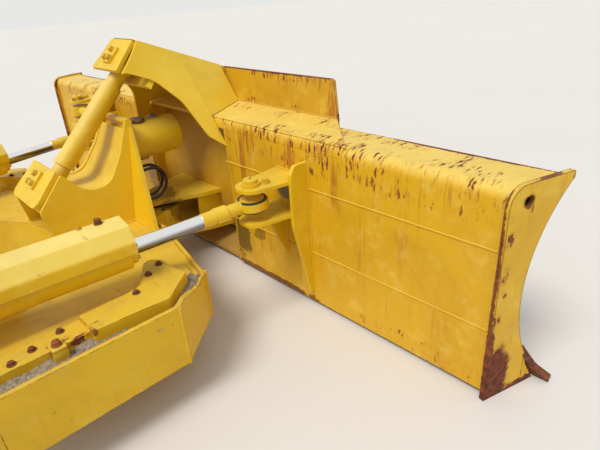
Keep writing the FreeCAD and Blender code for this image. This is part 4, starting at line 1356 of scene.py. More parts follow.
BLADE_ZONES = (
    Zone(Stain.OIL, (2.55, -0.47, -0.10), (0.10, 0.075, 0.15), 1.7, 9.0, 0.85),
    Zone(Stain.OIL, (2.55, -0.62, -0.02), (0.10, 0.05, 0.09), 1.9, 12.0, 0.6),
    Zone(Stain.OIL, (2.55, 0.47, -0.06), (0.10, 0.08, 0.15), 1.5, 9.0, 0.6),
    # Between the ear plates of the angle brackets: painted shade over a dull grey.
    Zone(Stain.GREY, (2.55, -0.90, 0.275), (0.06, 0.115, 0.066), 0.25, 12.0, 0.92),
    Zone(Stain.GREY, (2.55, 0.90, 0.275), (0.06, 0.115, 0.066), 0.25, 12.0, 0.7),
    Zone(Stain.CHIPS, (2.565, -0.86, 0.515), (0.075, 0.48, 0.045), 0.5, 12.0),
    Zone(Stain.CHIPS, (2.57, -1.26, 0.500), (0.100, 0.32, 0.060), 0.6, 12.0),
    Zone(Stain.CHIPS, (2.60, -1.68, 0.490), (0.110, 0.28, 0.070), 0.9, 12.0),
    Zone(Stain.CHIPS, (2.55, -1.15, 0.42), (0.05, 0.70, 0.045), 2.0, 16.0, 0.8),
    Zone(Stain.CHIPS, (2.57, 0.98, 0.505), (0.085, 0.56, 0.050), 0.8, 9.0),
    Zone(Stain.CHIPS, (2.60, 1.62, 0.500), (0.110, 0.32, 0.065), 1.1, 9.0),
    Zone(Stain.CHIPS, (2.74, -1.10, 0.540), (0.060, 0.90, 0.040), 1.4, 12.0, 0.8),
    Zone(Stain.CHIPS, (2.74, 1.10, 0.540), (0.060, 0.90, 0.040), 1.4, 12.0, 0.8),
    Zone(Stain.RUST, (2.777, -1.62, 0.527), (0.014, 0.40, 0.014), 0.9, 20.0),
    Zone(Stain.RUST, (2.777, 1.62, 0.527), (0.014, 0.40, 0.014), 0.9, 20.0),
    Zone(Stain.RUST, (2.55, -0.424, 0.02), (0.02, 0.008, 0.34), 1.1, 26.0, 0.8),
    Zone(Stain.RUST, (2.55, -0.62, -0.285), (0.05, 0.44, 0.024), 1.2, 14.0, 0.85),
    Zone(Stain.RUST, (2.55, -1.912, 0.02), (0.02, 0.012, 0.50), 1.0, 26.0, 0.9),
    Zone(Stain.RUST, (2.55, 1.912, 0.02), (0.02, 0.012, 0.50), 1.0, 26.0, 0.9),
    Zone(Stain.CHIPS, (2.56, -1.62, -0.25), (0.05, 0.40, 0.04), 1.2, 12.0, 0.8),
    Zone(Stain.CHIPS, (2.56, 1.20, -0.25), (0.05, 0.80, 0.04), 1.2, 12.0, 0.8),
)
DECK_ZONES = tuple(
    zone for side in (-1, 1) for zone in (
        Zone(Stain.CHIPS, (1.34, side * 1.045, 0.134), (0.26, 0.060, 0.03), 0.9, 12.0),
        Zone(Stain.RUST, (1.24, side * 1.085, 0.128), (0.13, 0.010, 0.014), 1.0, 26.0, 0.9),
        Zone(Stain.RUST, (1.52, side * 1.07, 0.140), (0.010, 0.05, 0.016), 1.0, 26.0, 0.8),
    ))
END_ZONES = tuple(
    zone for side in (-1, 1) for zone in (
        Zone(Stain.RUST, (2.550, side * 1.93, -0.31), (0.100, 0.09, 0.27), 0.6, 10.0),
        Zone(Stain.RUST, (2.70, side * 1.98, -0.325), (0.150, 0.09, 0.050), 0.7, 10.0),
        Zone(Stain.RUST, (2.530, side * 1.915, -0.14), (0.017, 0.03, 0.26), 0.9, 16.0, 0.95),
        Zone(Stain.RUST, (2.526, side * 1.911, 0.20), (0.013, 0.016, 0.36), 0.7, 30.0, 0.95),
        Zone(Stain.RUST, (2.545, side * 1.911, 0.500), (0.034, 0.012, 0.066), 0.8, 30.0, 0.95),
        Zone(Stain.RUST, (2.610, side * 1.93, 0.480), (0.034, 0.04, 0.034), 0.5, 30.0, 0.85),
        Zone(Stain.RUST, (2.625, side * 1.93, 0.448), (0.007, 0.04, 0.026), 0.6, 30.0, 0.8),
        Zone(Stain.RUST, (2.700, side * 1.97, 0.544), (0.110, 0.05, 0.008), 0.8, 18.0, 0.9),
        Zone(Stain.RUST, (2.795, side * 2.01, 0.45), (0.014, 0.05, 0.10), 0.9, 18.0, 0.8),
        Zone(Stain.CHIPS, (2.545, side * 1.93, 0.20), (0.022, 0.06, 0.34), 0.9, 12.0, 0.85),
        Zone(Stain.RUST, (2.705, side * 1.98, -0.02), (0.006, 0.06, 0.30), 0.6, 26.0, 0.7),
    ))
HOOD_ZONES = (
    Zone(Stain.RUST, (2.817, -0.50, 0.727), (0.020, 0.50, 0.008), 0.8, 20.0, 0.95),
    Zone(Stain.RUST, (2.817, 0.50, 0.727), (0.020, 0.50, 0.008), 0.8, 20.0, 0.95),
    Zone(Stain.CHIPS, (2.81, -0.62, 0.715), (0.05, 0.36, 0.026), 0.9, 12.0),
    Zone(Stain.RUST, (2.80, -0.988, 0.64), (0.030, 0.008, 0.11), 1.0, 18.0, 0.9),
    Zone(Stain.CHIPS, (2.80, 0.80, 0.66), (0.06, 0.30, 0.12), 1.3, 9.0),
    Zone(Stain.CHIPS, (2.79, 0.0, 0.57), (0.03, 1.0, 0.03), 1.0, 9.0, 0.7),
)


class Palette:
    """Every finish of the machine, each material built once."""

    machine = PaintFinish("machine_yellow", spots=0.12, runs=0.16, edge_cover=0.30, scuffs=0.30, dust=0.22,
                          zones=(Zone(Stain.OIL, (2.35, 0.0, 0.02), (0.10, 0.20, 0.10), 1.4, 8.0, 0.7),))
    tower = PaintFinish("tower_yellow", spots=0.05, runs=0.12, edge_cover=0.30, scuffs=0.22, dust=0.20, fade_and_highlight=0.50)
    # The guard's top is paled strongly toward a near-white yellow: mostly a painted highlight, with some sun fading.
    guard = PaintFinish("guard_yellow", spots=0.05, runs=0.08, edge_cover=0.26, dust=0.12, fade_and_highlight=0.85,
                        pale=srgb(247, 230, 138), scuffs=0.3)
    deck = PaintFinish("deck_yellow", paint=srgb(226, 182, 18), pale=srgb(228, 197, 88), deep=srgb(198, 150, 8),
                       spots=0.20, runs=0.20, edge_cover=0.50, dust=0.34, dust_cover=0.46, scuffs=0.35,
                       zones=DECK_ZONES)
    blade = PaintFinish("blade_yellow", paint=srgb(221, 172, 22), pale=srgb(244, 220, 116), deep=srgb(198, 146, 16),
                        fade_and_highlight=0.74, spots=0.12, runs=0.62, edge_cover=0.42, edge_radius=0.004,
                        rusty_above=(0.40, 0.50, 0.16), zones=BLADE_ZONES, dust=0.10, scuffs=0.15)
    ends = PaintFinish("end_plate_yellow", paint=srgb(228, 180, 28), deep=srgb(202, 150, 18), spots=0.14, runs=0.5,
                       edge_cover=0.76, edge_radius=0.006, edge_break=20.0, zones=END_ZONES, scuffs=0.2)
    hood = PaintFinish("hood_yellow", paint=srgb(204, 156, 20), deep=srgb(172, 124, 14), spots=0.14, runs=0.80,
                       edge_cover=0.62, edge_radius=0.005, zones=HOOD_ZONES, scuffs=0.2,
                       rusty_above=(0.62, 0.74, 0.20))
    mould = PaintFinish("mould_yellow", paint=srgb(214, 166, 26), pale=srgb(220, 188, 104), deep=srgb(180, 130, 22),
                        spots=0.22, runs=0.35, edge_cover=0.50, scuffs=0.5, gloss=0.52, scraped=0.78)
    belly = PaintFinish("belly_yellow", paint=srgb(196, 148, 34), pale=srgb(204, 172, 106), deep=srgb(146, 104, 38),
                        spots=0.7, runs=0.4, edge_cover=0.56, scuffs=0.9, gloss=0.56)
    edge = SteelFinish("cutting_edge_steel", rust=0.62, paint_left=0.36)
    pins = SteelFinish("pin_brown_steel", rust=0.46, paint_left=0.46, metallic=0.7)
    bare = SteelFinish("greasy_steel", steel=srgb(104, 98, 90), rust=0.34, rough=0.34)
    pale_steel = SteelFinish("pale_steel", steel=srgb(176, 166, 128), rust=0.30, rough=0.40, paint_left=0.44,
                             metallic=0.5)
    rusty = SteelFinish("rusty_bolt", steel=srgb(112, 70, 42), rust=0.70, grain=110.0, metallic=0.3)
    orange = SteelFinish("orange_bolt", steel=srgb(178, 84, 34), rust=0.30, grain=110.0, metallic=0.1)
    painted_bolt = PaintFinish("painted_bolt", paint=srgb(216, 174, 34), spots=0.4, spot_scale=90.0, runs=0.0,
                               edge_cover=0.56, edge_radius=0.0022, edge_break=60.0, scuffs=0.0, dust=0.25, dents=0.0)
    weld = PaintFinish("painted_weld", paint=srgb(219, 170, 26), spots=0.35, spot_scale=80.0, runs=0.0,
                       edge_cover=0.0, scuffs=0.0, dust=0.2, dents=0.0)
    rusty_weld = PaintFinish("rusty_weld", paint=srgb(196, 138, 34), spots=1.2, spot_scale=60.0, runs=0.0,
                             edge_cover=0.0, scuffs=0.0, dust=0.3, dents=0.0)
    rubber = RubberFinish("black_rubber")
    seal = RubberFinish("seal_rubber", dust=0.2)
    soil = SoilFinish("packed_dirt")
    made: dict[str, bpy.types.Material] = {}

    def get(self, finish: Finish) -> bpy.types.Material:
        """Give a finish's material, built the first time it is asked for.

        Args:
            finish: The finish.

        Returns:
            Its material.
        """
        if finish.name not in self.made:
            self.made[finish.name] = finish.material()
        return self.made[finish.name]

    def angle_rod(self, side: int) -> RodFinish:
        """Give the finish of an angle cylinder's rod, whose eye is painted."""
        way = (angle_pin(side) - angle_base(side)).normalized()
        mark = angle_pin(side) - way * 0.245
        return RodFinish("angle_rod_right" if side < 0 else "angle_rod_left", tuple(mark), tuple(way), self.machine)

    def tilt_rod(self) -> RodFinish:
        """Give the finish of the tilt cylinder's rod, whose eye is painted."""
        way = (TILT_PIN - TILT_BASE).normalized()
        return RodFinish("tilt_rod", tuple(TILT_PIN - way * 0.190), tuple(way), self.machine)

    def dress_nodes(self) -> None:
        """Give every CAD node its material."""
        finishes: dict[str, Finish] = {
            "hose_covers": self.deck, "frame_head": self.deck, "push_arm_right": self.deck,
            "push_arm_left": self.deck, "lift_lugs": self.deck, "belly_plate": self.belly,
            "angle_guard_right": self.guard, "angle_guard_left": self.guard, "pitch_link": self.guard,
            "end_plate_right": self.ends, "end_plate_left": self.ends, "hood_ramp": self.blade,
            "hood_upstand": self.hood, "mouldboard": self.mould, "bottom_rail": self.belly,
            "back_panel_right": self.blade, "back_panel_left": self.blade, "pocket_top": self.blade,
            "pocket_ribs": self.blade, "cutting_edge": self.edge, "end_bits": self.edge,
            "tower_hoses": self.rubber, "tower_plate_right": self.tower, "tower_plate_left": self.tower,
            "tower_front": self.tower, "tower_saddle": self.tower, "tower_rear": self.tower,
            "mast_plate_right": self.tower, "mast_plate_left": self.tower, "mast_crown": self.tower,
            "mast_face": self.tower, "wing_gussets": self.tower, "tilt_housing": self.tower,
            "link_low_pin": self.tower, "link_top_pin": self.tower, "centre_ball": self.bare,
            "centre_pin": self.bare, "base_pins": self.pins, "tilt_base_pin": self.pins, "tilt_pins": self.pins,
            "angle_rod_right": self.angle_rod(-1), "angle_rod_left": self.angle_rod(1),
            "tilt_rod": self.tilt_rod(),
        }
        for name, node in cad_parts.items():
            material = self.get(finishes.get(name, self.machine))
            node.data.materials.clear()
            node.data.materials.append(material)
            log.info("node %s in %s", name, material.name)


# --------------------------------------------------------------- sub-assemblies


def on(place: Matrix, along: float, across: float, up: float) -> Point:
    """Give the point at some lengths along a frame's three ways."""
    return tuple(place @ Vector((along, across, up)))


def way_of(place: Matrix, axis: int) -> Vector:
    """Give one of a frame's three ways."""
    return place.col[axis].to_3d()


def frame_of(origin: Vector, along: Vector, across: Vector) -> Matrix:
    """Make the matrix of a frame from its origin and its first two ways."""
    first, second = along.normalized(), across.normalized()
    turn = Matrix((first, second, first.cross(second))).transposed().to_4x4()
    return Matrix.Translation(origin) @ turn


def cylinder_frame(base: Vector, pin: Vector) -> Matrix:
    """Give the frame of a hydraulic cylinder: along its rod, level across it, and up."""
    way = (pin - base).normalized()
    return frame_of(base, way, Vector((-way.y, way.x, 0.0)))


def both_sides(*points: Point) -> list[Point]:
    """Repeat points of the right side on the left."""
    return [(x, side * -y, z) for side in (-1, 1) for x, y, z in points]


def both_runs(runs: Sequence[Run]) -> list[Run]:
    """Repeat straight runs of the right side on the left."""
    return [((a[0], -side * a[1], a[2]), (b[0], -side * b[1], b[2])) for side in (-1, 1) for a, b in runs]


def level_runs(lines: Sequence[tuple[Flat, Flat]], level: float) -> list[Run]:
    """Raise the straight lines of a plan to a level."""
    return [((*start, level), (*stop, level)) for start, stop in lines]


def closed(points: Sequence[Point]) -> list[Run]:
    """Join points into straight runs that close a loop."""
    return [(points[index - 1], points[index]) for index in range(len(points))]


def round_turns(count: int) -> list[float]:
    """Give the turns of evenly spaced bolts, the first half a space round."""
    return [math.tau * (step + 0.5) / count for step in range(count)]


@dataclass
class Assembly:
    """What every sub-assembly has: the finishes, and the body that its pieces ride on."""

    palette: Palette
    body: str = "push_frame"

    def finish(self, piece: bpy.types.Object, slot: Slot, finish: Finish, angle: float = SMOOTH_ANGLE,
               body: str = "") -> None:
        """Finish a piece.

        Args:
            piece: The piece.
            slot: The record's material slot; not used.
            finish: Its finish.
            angle: The angle up to which it is shaded smooth.
            body: The CAD body that it rides on, where that isn't the sub-assembly's.
        """
        finish_piece(piece, body or self.body, self.palette.get(finish), angle)

    def fit(self, name: str, fitting: Fitting, places: Sequence[Spot],
            finish: Finish = Palette.painted_bolt) -> None:
        """Copy a fitting to its places as one piece, of worn steel or worn paint by its finish.

        Args:
            name: The piece's name.
            fitting: The fitting.
            places: A point, the way that the face looks and a spin for each.
            finish: The finish.
        """
        slot = Slot.WORN_STEEL if isinstance(finish, SteelFinish) else Slot.WORN_PAINT
        self.finish(fitting.group(name, places), slot, finish)

    def weld(self, name: str, width: float, pitch: float, runs: Sequence[Run], rusty: bool = False) -> None:
        """Lay beads of weld as one piece.

        Args:
            name: The piece's name.
            width: The beads' width.
            pitch: The length of a ripple.
            runs: The two ends of each bead.
            rusty: Whether the paint has come off.
        """
        bead = WeldBead(width, pitch).group(name, runs)
        if rusty:
            self.finish(bead, Slot.WORN_PAINT, self.palette.rusty_weld)
        else:
            self.finish(bead, Slot.PAINT, self.palette.weld)

    def retainer(self, name: str, pin: Vector, level: float) -> None:
        """Bolt a link pin's retaining plate down.

        Args:
            name: The piece's name.
            pin: The pin's middle.
            level: The height of the plate's face over it.
        """
        place = frame_of(pin, LINK_UP, Vector((0.0, 1.0, 0.0)))
        spots = ((0.026, 0.004, 0.0), (-0.021, 0.022, 25.0), (-0.021, -0.022, 50.0))
        self.fit(name, HexBolt(0.024, 0.013, 0.0165, 0.003),
                 [(on(place, along, across, level), way_of(place, 2), spin) for along, across, spin in spots])


@dataclass
class PushFrame(Assembly):
    """Bolts, clamps, welds and packed dirt on the push frame and its hose covers."""

    belly: float = -0.118
    deck: float = 0.082
    cover_top: float = 0.148
    groove_top: float = 0.134
    bracket_top: float = 0.318
    high_bolts: tuple[Flat, ...] = ((1.880, -0.838), (1.812, -0.880), (1.720, -0.962))
    low_bolts: tuple[Flat, ...] = ((1.443, -0.960), (1.346, -0.988), (1.279, -1.012))
    bolt_spin: float = 17.0
    clamp_x: float = 1.408
    clamp_plate: Point = (0.046, 0.060, 0.010)
    clamp_plate_y: float = 1.034
    clamp_foot: Point = (0.046, 0.012, 0.050)
    clamp_foot_y: float = 1.058
    clamp_nut_y: float = 1.036
    bends: tuple[Point, ...] = ((1.7905, -1.1375, 0.128), (2.0155, -0.9500, 0.100), (2.1310, -0.4400, 0.092))
    lug_ends: Flat = (1.247, 1.413)
    lug_sides: tuple[float, ...] = (-0.642, -0.620, -0.564, -0.542)
    bracket_feet: tuple[tuple[Flat, Flat], ...] = (
        ((0.806, -0.964), (1.030, -0.964)), ((1.028, -0.964), (1.028, -0.852)), ((0.815, -0.848), (1.028, -0.848)))
    rim_in: tuple[Flat, ...] = (
        (1.185, -1.121), (1.50, -1.121), (1.780, -1.121), (1.905, -1.020), (1.985, -0.952))
    cover_out: tuple[Flat, ...] = (
        (1.185, -1.036), (1.50, -1.040), (1.775, -1.080), (1.900, -0.988), (1.965, -0.925))
    dirt_cells: tuple[int, int] = (96, 6)
    dirt_rise: float = 0.024
    dirt_sag: float = 0.008
    dirt_depth: float = 0.030
    clod_size: float = 0.034
    clod_height: float = 0.024

    def build(self) -> None:
        """Build every small piece of the push frame."""
        self.bolts()
        self.clamps()
        self.welds()
        for side in (-1, 1):
            self.dirt(side)
        self.greasing()

    def bolts(self) -> None:
        """Stand the rusty bolts on the hose covers."""
        points = both_sides(*((*point, self.cover_top) for point in self.high_bolts),
                            *((*point, self.groove_top) for point in self.low_bolts))
        self.fit("cover_bolts", HexBolt(0.018, 0.009, 0.0145, 0.0025),
                 [(point, UP, self.bolt_spin * index) for index, point in enumerate(points)], self.palette.rusty)

    def clamps(self) -> None:
        """Make the small clamps that hold the covers' low edge."""
        parts = []
        for side in (-1, 1):
            plate = block(self.clamp_plate, (self.clamp_x, side * self.clamp_plate_y, self.groove_top + 0.005))
            foot = block(self.clamp_foot, (self.clamp_x, side * self.clamp_foot_y, self.groove_top - 0.020))
            parts += [bevelled(plate, 0.002), bevelled(foot, 0.002)]
        self.finish(joined("cover_clamps", parts), Slot.WORN_PAINT, self.palette.painted_bolt)
        heads = both_sides((self.clamp_x, -self.clamp_nut_y, self.groove_top + self.clamp_plate[2]))
        self.fit("clamp_nuts", HexBolt(0.024, 0.013, 0.018, 0.003, nut=True),
                 [(head, UP, 12.0) for head in heads], self.palette.orange)

    def welds(self) -> None:
        """Lay the weld beads of the frame's bends, brackets and lugs."""
        self.weld("bend_welds", 0.015, 0.006,
                  both_runs([((x, y, self.belly), (x, y, top)) for x, y, top in self.bends]))
        first, last = self.lug_ends
        runs = level_runs([((first, y), (last, y)) for y in self.lug_sides], self.deck)
        runs += level_runs(self.bracket_feet, self.deck + 0.002)
        self.weld("bracket_foot_welds", 0.010, 0.005, both_runs(runs))

    def dirt(self, side: int) -> None:
        """Pack dry dirt between a hose cover and the rim.

        Args:
            side: -1 for the right side and 1 for the left.
        """
        steps, rows = self.dirt_cells
        bpy.ops.object.select_all(action="DESELECT")
        bpy.ops.mesh.primitive_grid_add(x_subdivisions=steps, y_subdivisions=rows, size=1.0)
        strip = bpy.context.active_object
        for vertex in strip.data.vertices:
            along, across = vertex.co.x + 0.5, vertex.co.y + 0.5
            outer, inner = self.between(self.rim_in, along), self.between(self.cover_out, along)
            x, y = (outer[index] + (inner[index] - outer[index]) * across for index in (0, 1))
            level = self.deck + self.dirt_rise - self.dirt_sag * math.sin(math.pi * across)
            vertex.co = (x, -side * y, level)
        if side > 0:
            with faces(strip, lambda polygon: True):
                bpy.ops.mesh.flip_normals()
        only(strip)
        clods = bpy.data.textures.new("clods", "CLOUDS")
        clods.noise_scale = self.clod_size
        clods.noise_depth = 4
        rough = strip.modifiers.new("rough", "DISPLACE")
        rough.texture = clods
        rough.texture_coords = "LOCAL"
        rough.direction = "Z"
        rough.strength = self.clod_height
        shell = strip.modifiers.new("shell", "SOLIDIFY")
        shell.thickness = self.dirt_depth
        shell.offset = -1.0
        for name in ("rough", "shell"):
            bpy.ops.object.modifier_apply(modifier=name)
        name = "packed_dirt_right" if side < 0 else "packed_dirt_left"
        self.finish(joined(name, [strip]), Slot.WORN_PAINT, self.palette.soil, angle=60.0)

    @staticmethod
    def between(line: Sequence[Flat], share: float) -> Flat:
        """Give the point at a share of a bent line, its stretches counted alike."""
        place = min(max(share, 0.0), 0.9999) * (len(line) - 1)
        index = int(place)
        rest = place - index
        first, second = line[index], line[index + 1]
        return (first[0] + (second[0] - first[0]) * rest, first[1] + (second[1] - first[1]) * rest)

    def greasing(self) -> None:
        """Screw grease nipples into the trunnion eyes and beside the base pins."""
        points = both_sides((0.0, -0.994, 0.112)) + both_sides((0.900, -0.760, self.bracket_top))
        self.fit("frame_nipples", GreaseNipple(0.014, 0.018), [(point, UP) for point in points], self.palette.bare)
        self.fit("base_pin_keepers", HexBolt(0.022, 0.011, 0.017, 0.003),
                 [(point, UP, 20.0) for point in both_sides((1.008, -0.700, self.bracket_top))])


@dataclass
class Tower(Assembly):
    """Bolts and welds of the tower that carries the pitch link and the tilt housing."""

    foot: float = 0.084
    top: float = 0.530
    front_x: float = 2.096
    front_half: float = 0.204
    lean: float = 0.2309
    lean_from: float = 0.082
    side_feet: tuple[tuple[Flat, Flat], ...] = (((1.692, -0.229), (2.098, -0.229)), ((1.70, -0.201), (2.076, -0.201)))
    wing_feet: tuple[tuple[Flat, Flat], ...] = (
        ((2.079, -0.434), (2.079, -0.226)), ((2.099, -0.434), (2.099, -0.226)))
    corner: Flat = (-0.222, -0.131)
    housing_z: float = 0.415
    housing_r: float = 0.100
    housing_steps: int = 28
    strap: Point = (0.090, 0.036, 0.009)
    strap_x: float = 2.372
    strap_bolt_x: float = 2.385

    def build(self) -> None:
        """Build every small piece of the tower."""
        self.retainer("tower_retainer_bolts", LINK_LOW, 0.092)
        self.welds()
        self.housing()

    def front(self, z: float) -> float:
        """Give how far forward the leaning front plate is at a height."""
        return self.front_x + (z - self.lean_from) * self.lean

    def welds(self) -> None:
        """Lay the beads round the tower's feet and along its corners."""
        low, top = self.foot, self.top
        front = self.front(low)
        runs = level_runs((*self.side_feet, ((front, -self.front_half), (front, 0.0)), *self.wing_feet), low)
        start_y, stop_y = self.corner
        runs.append(((front + 0.001, start_y, low + 0.01), (self.front(top) + 0.001, stop_y, top)))
        self.weld("tower_welds", 0.011, 0.005, both_runs(runs))

    def housing(self) -> None:
        """Weld the tilt housing to the tower and bolt its strap."""
        points = []
        for step in range(self.housing_steps):
            turn = math.tau * step / self.housing_steps
            z = self.housing_z + (self.housing_r + 0.001) * math.cos(turn)
            points.append((self.front(z) + 0.002, (self.housing_r + 0.001) * math.sin(turn), z))
        self.weld("housing_weld", 0.013, 0.003, closed(points))
        top = self.housing_z + self.housing_r
        strap = bevelled(block(self.strap, (self.strap_x, 0.0, top + 0.0035)), 0.003)
        self.finish(joined("housing_strap", [strap]), Slot.WORN_PAINT, self.palette.pale_steel)
        self.fit("housing_bolt", HexBolt(0.022, 0.010, 0.016, 0.002),
                 [((self.strap_bolt_x, 0.0, top + 0.008), UP, 10.0)], self.palette.bare)


@dataclass
class CentreJoint(Assembly):
    """Cap bolts of the ball socket under the fork."""

    centre: Flat = (2.290, 0.0)
    circle: float = 0.112
    top: float = 0.030
    count: int = 10

    def build(self) -> None:
        """Stand the cap bolts on the socket's rim."""
        x, y = self.centre
        self.fit("socket_bolts", HexBolt(0.020, 0.004, 0.013, 0.0012),
                 [((x + self.circle * math.cos(turn), y + self.circle * math.sin(turn), self.top), UP,
                   math.degrees(turn)) for turn in round_turns(self.count)], self.palette.bare)


@dataclass
class Blade(Assembly):
    """Weld seams, edge bolts and pin fittings of the blade."""

    body: str = "blade"
    back: float = 2.550
    seam_levels: Flat = (0.304, -0.015)
    seam_ends: Flat = (-0.405, -1.900)
    post_seam: Point = (-0.428, -0.280, 0.470)
    end_seam: Point = (-1.9125, -0.285, 0.478)
    hood_seam: Point = (2.788, -0.985, 0.5605)
    hood_gap: float = 0.004
    mast_foot: float = 0.330
    ramp_half: float = 1.225
    fillet: tuple[Flat, ...] = (
        (2.5498, 0.4790), (2.5501, 0.4880), (2.5512, 0.4980), (2.5534, 0.5075), (2.5568, 0.5165), (2.5614, 0.5240),
        (2.5672, 0.5292), (2.5760, 0.5322), (2.6000, 0.5260), (2.5850, 0.5050), (2.5600, 0.4850))
    gusset_levels: Flat = (-0.232, 0.426)
    gusset_sides: Flat = (-1.0275, -1.0025)
    rib_levels: Flat = (-0.066, 0.188)
    rib_sides: Flat = (-0.8605, -0.8375)
    ear_ends: Flat = (-1.003, -0.814)
    ear_levels: tuple[float, ...] = (0.3645, 0.3435, 0.2095, 0.1885)
    tilt_ends: Flat = (0.832, 0.988)
    tilt_levels: Flat = (0.5205, 0.3835)
    edge_spacing: float = 0.210
    edge_half: float = 1.575
    edge_at: Flat = (2.7376, -0.1936)
    edge_way: Point = (0.861, 0.0, 0.508)
    bit_sides: tuple[float, ...] = (-1.86, -1.73, 1.73, 1.86)
    bit_at: Flat = (2.7472, -0.1996)
    bit_way: Point = (0.856, 0.0, 0.517)
    angle_head: Point = (2.324, -0.906, 0.3755)
    tilt_head: Point = (2.334, 0.906, 0.5295)
    cap_height: float = 0.016
    cap_crown: float = 0.0007
    angle_keeper: Point = (2.386, -0.930, 0.362)
    tilt_keeper: Point = (2.392, 0.906, 0.518)

    def build(self) -> None:
        """Build every small piece of the blade."""
        self.seams()
        self.bracket_welds()
        self.edge_bolts()
        self.pin_fittings()

    def seams(self) -> None:
        """Lay the thin seams across the back panels and the beads at their ends."""
        start, stop = self.seam_ends
        runs = [((self.back, start, z), (self.back, stop, z)) for z in self.seam_levels]
        y, low, high = self.post_seam
        runs.append(((self.back + 0.001, y, low), (self.back + 0.001, y, high)))
        self.weld("panel_seams", 0.008, 0.007, both_runs(runs))
        y, low, high = self.end_seam
        self.weld("end_plate_welds", 0.013, 0.006,
                  both_runs([((self.back + 0.002, y, low), (self.back + 0.002, y, high))]), rusty=True)
        self.ramp_fillet()
        x, y, z = self.hood_seam
        self.weld("hood_weld", 0.010, 0.006, both_runs([((x, -self.hood_gap, z), (x, y, z))]), rusty=True)

    def ramp_fillet(self) -> None:
        """Smooth the step between the hood's ramp and the blade's rounded top."""
        parts = []
        for side in (-1, 1):
            bpy.ops.object.select_all(action="DESELECT")
            bpy.ops.mesh.primitive_circle_add(vertices=len(self.fillet), radius=1.0, fill_type="NGON")
            strip = bpy.context.active_object
            for vertex, (x, z) in zip(strip.data.vertices, self.fillet):
                vertex.co = (x, side * self.mast_foot, z)
            with faces(strip, lambda polygon: True):
                bpy.ops.mesh.extrude_region_move(
                    TRANSFORM_OT_translate={"value": (0, side * (self.ramp_half - self.mast_foot), 0)})
                bpy.ops.mesh.select_all(action="SELECT")
                bpy.ops.mesh.normals_make_consistent(inside=False)
            parts.append(strip)
        self.finish(joined("ramp_fillet", parts), Slot.PAINT, self.palette.blade, angle=50.0)

    def bracket_welds(self) -> None:
        """Lay the beads of the cylinders' brackets on the back panels."""
        x = self.back - 0.001
        runs = [((x, y, low), (x, y, high))
                for sides, (low, high) in ((self.gusset_sides, self.gusset_levels), (self.rib_sides, self.rib_levels))
                for y in sides]
        start, stop = self.ear_ends
        runs += [((x, start, z), (x, stop, z)) for z in self.ear_levels]
        self.weld("bracket_welds", 0.009, 0.005, both_runs(runs))
        start, stop = self.tilt_ends
        self.weld("tilt_bracket_welds", 0.009, 0.005, [((x, start, z), (x, stop, z)) for z in self.tilt_levels])

    def edge_bolts(self) -> None:
        """Set the domed bolt heads into the cutting edge and the end bits."""
        dome = cylinder(0.018, 0.0045, 20)
        with faces(dome, top_face):
            bpy.ops.mesh.inset(thickness=0.005, depth=0.0022)
            bpy.ops.mesh.inset(thickness=0.006, depth=0.0010)
        bevelled(dome, 0.0012, 1)
        gaps = round(2 * self.edge_half / self.edge_spacing)
        x, z = self.edge_at
        places = [seat((x, -self.edge_half + index * 2 * self.edge_half / gaps, z), self.edge_way)
                  for index in range(gaps + 1)]
        x, z = self.bit_at
        places += [seat((x, y, z), self.bit_way) for y in self.bit_sides]
        self.finish(copied("edge_bolts", dome, places), Slot.WORN_STEEL, self.palette.edge)

    def pin_fittings(self) -> None:
        """Stand the cap, the keeper bolt and the grease nipple on each rod pin's head."""
        heads = both_sides(self.angle_head) + [self.tilt_head]
        caps = []
        for x, y, z in heads:
            cap = cylinder(0.031, self.cap_height, 32, z)
            with faces(cap, top_face):
                bpy.ops.mesh.inset(thickness=0.007, depth=0.0015)
            caps.append(put(bevelled(cap, 0.0025, 2, 40), Matrix.Translation((x, y, 0.0))))
        self.finish(joined("pin_caps", caps), Slot.PAINT, self.palette.machine)
        keepers = [(point, UP, 14.0) for point in both_sides(self.angle_keeper)] + [(self.tilt_keeper, UP, 30.0)]
        self.fit("pin_keepers", HexBolt(0.028, 0.015, 0.022, 0.003), keepers)
        self.fit("pin_nipples", GreaseNipple(0.012, 0.009),
                 [((x, y, z + self.cap_height + self.cap_crown), UP) for x, y, z in heads])


@dataclass
class Mast(Assembly):
    """Retaining bolts of the pitch link's upper pin."""

    body: str = "blade"

    def build(self) -> None:
        """Bolt the upper pin's plate to the mast."""
        self.retainer("mast_retainer_bolts", LINK_TOP, 0.090)


@dataclass
class HydraulicCylinder(Assembly):
    """What both kinds of cylinder have: a wiper round the rod and bolts round the gland."""

    gland_end: float = 0.842
    rod_r: float = 0.031
    wiper_lip: float = 0.011
    bolt_circle: float = 0.050
    bolt_count: int = 6
    gland_bolt: HexBolt = field(default_factory=lambda: HexBolt(0.014, 0.008, 0.0095, 0.0015))

    def wiper(self, name: str, place: Matrix) -> None:
        """Press the wiper into the gland.

        Args:
            name: The piece's name.
            place: The cylinder's frame.
        """
        wiper = ring(self.rod_r + self.wiper_lip, self.rod_r + 0.0008, 0.006, 0.0018)
        put(wiper, seat(on(place, self.gland_end - 0.001, 0.0, 0.0), way_of(place, 0)))
        self.finish(joined(name, [wiper]), Slot.BLACK_RUBBER, self.palette.seal)

    def gland_bolts(self, name: str, place: Matrix) -> None:
        """Stand the bolts on the gland's face.

        Args:
            name: The piece's name.
            place: The cylinder's frame.
        """
        self.fit(name, self.gland_bolt,
                 [(on(place, self.gland_end, self.bolt_circle * math.cos(turn), self.bolt_circle * math.sin(turn)),
                   way_of(place, 0), math.degrees(turn)) for turn in round_turns(self.bolt_count)])


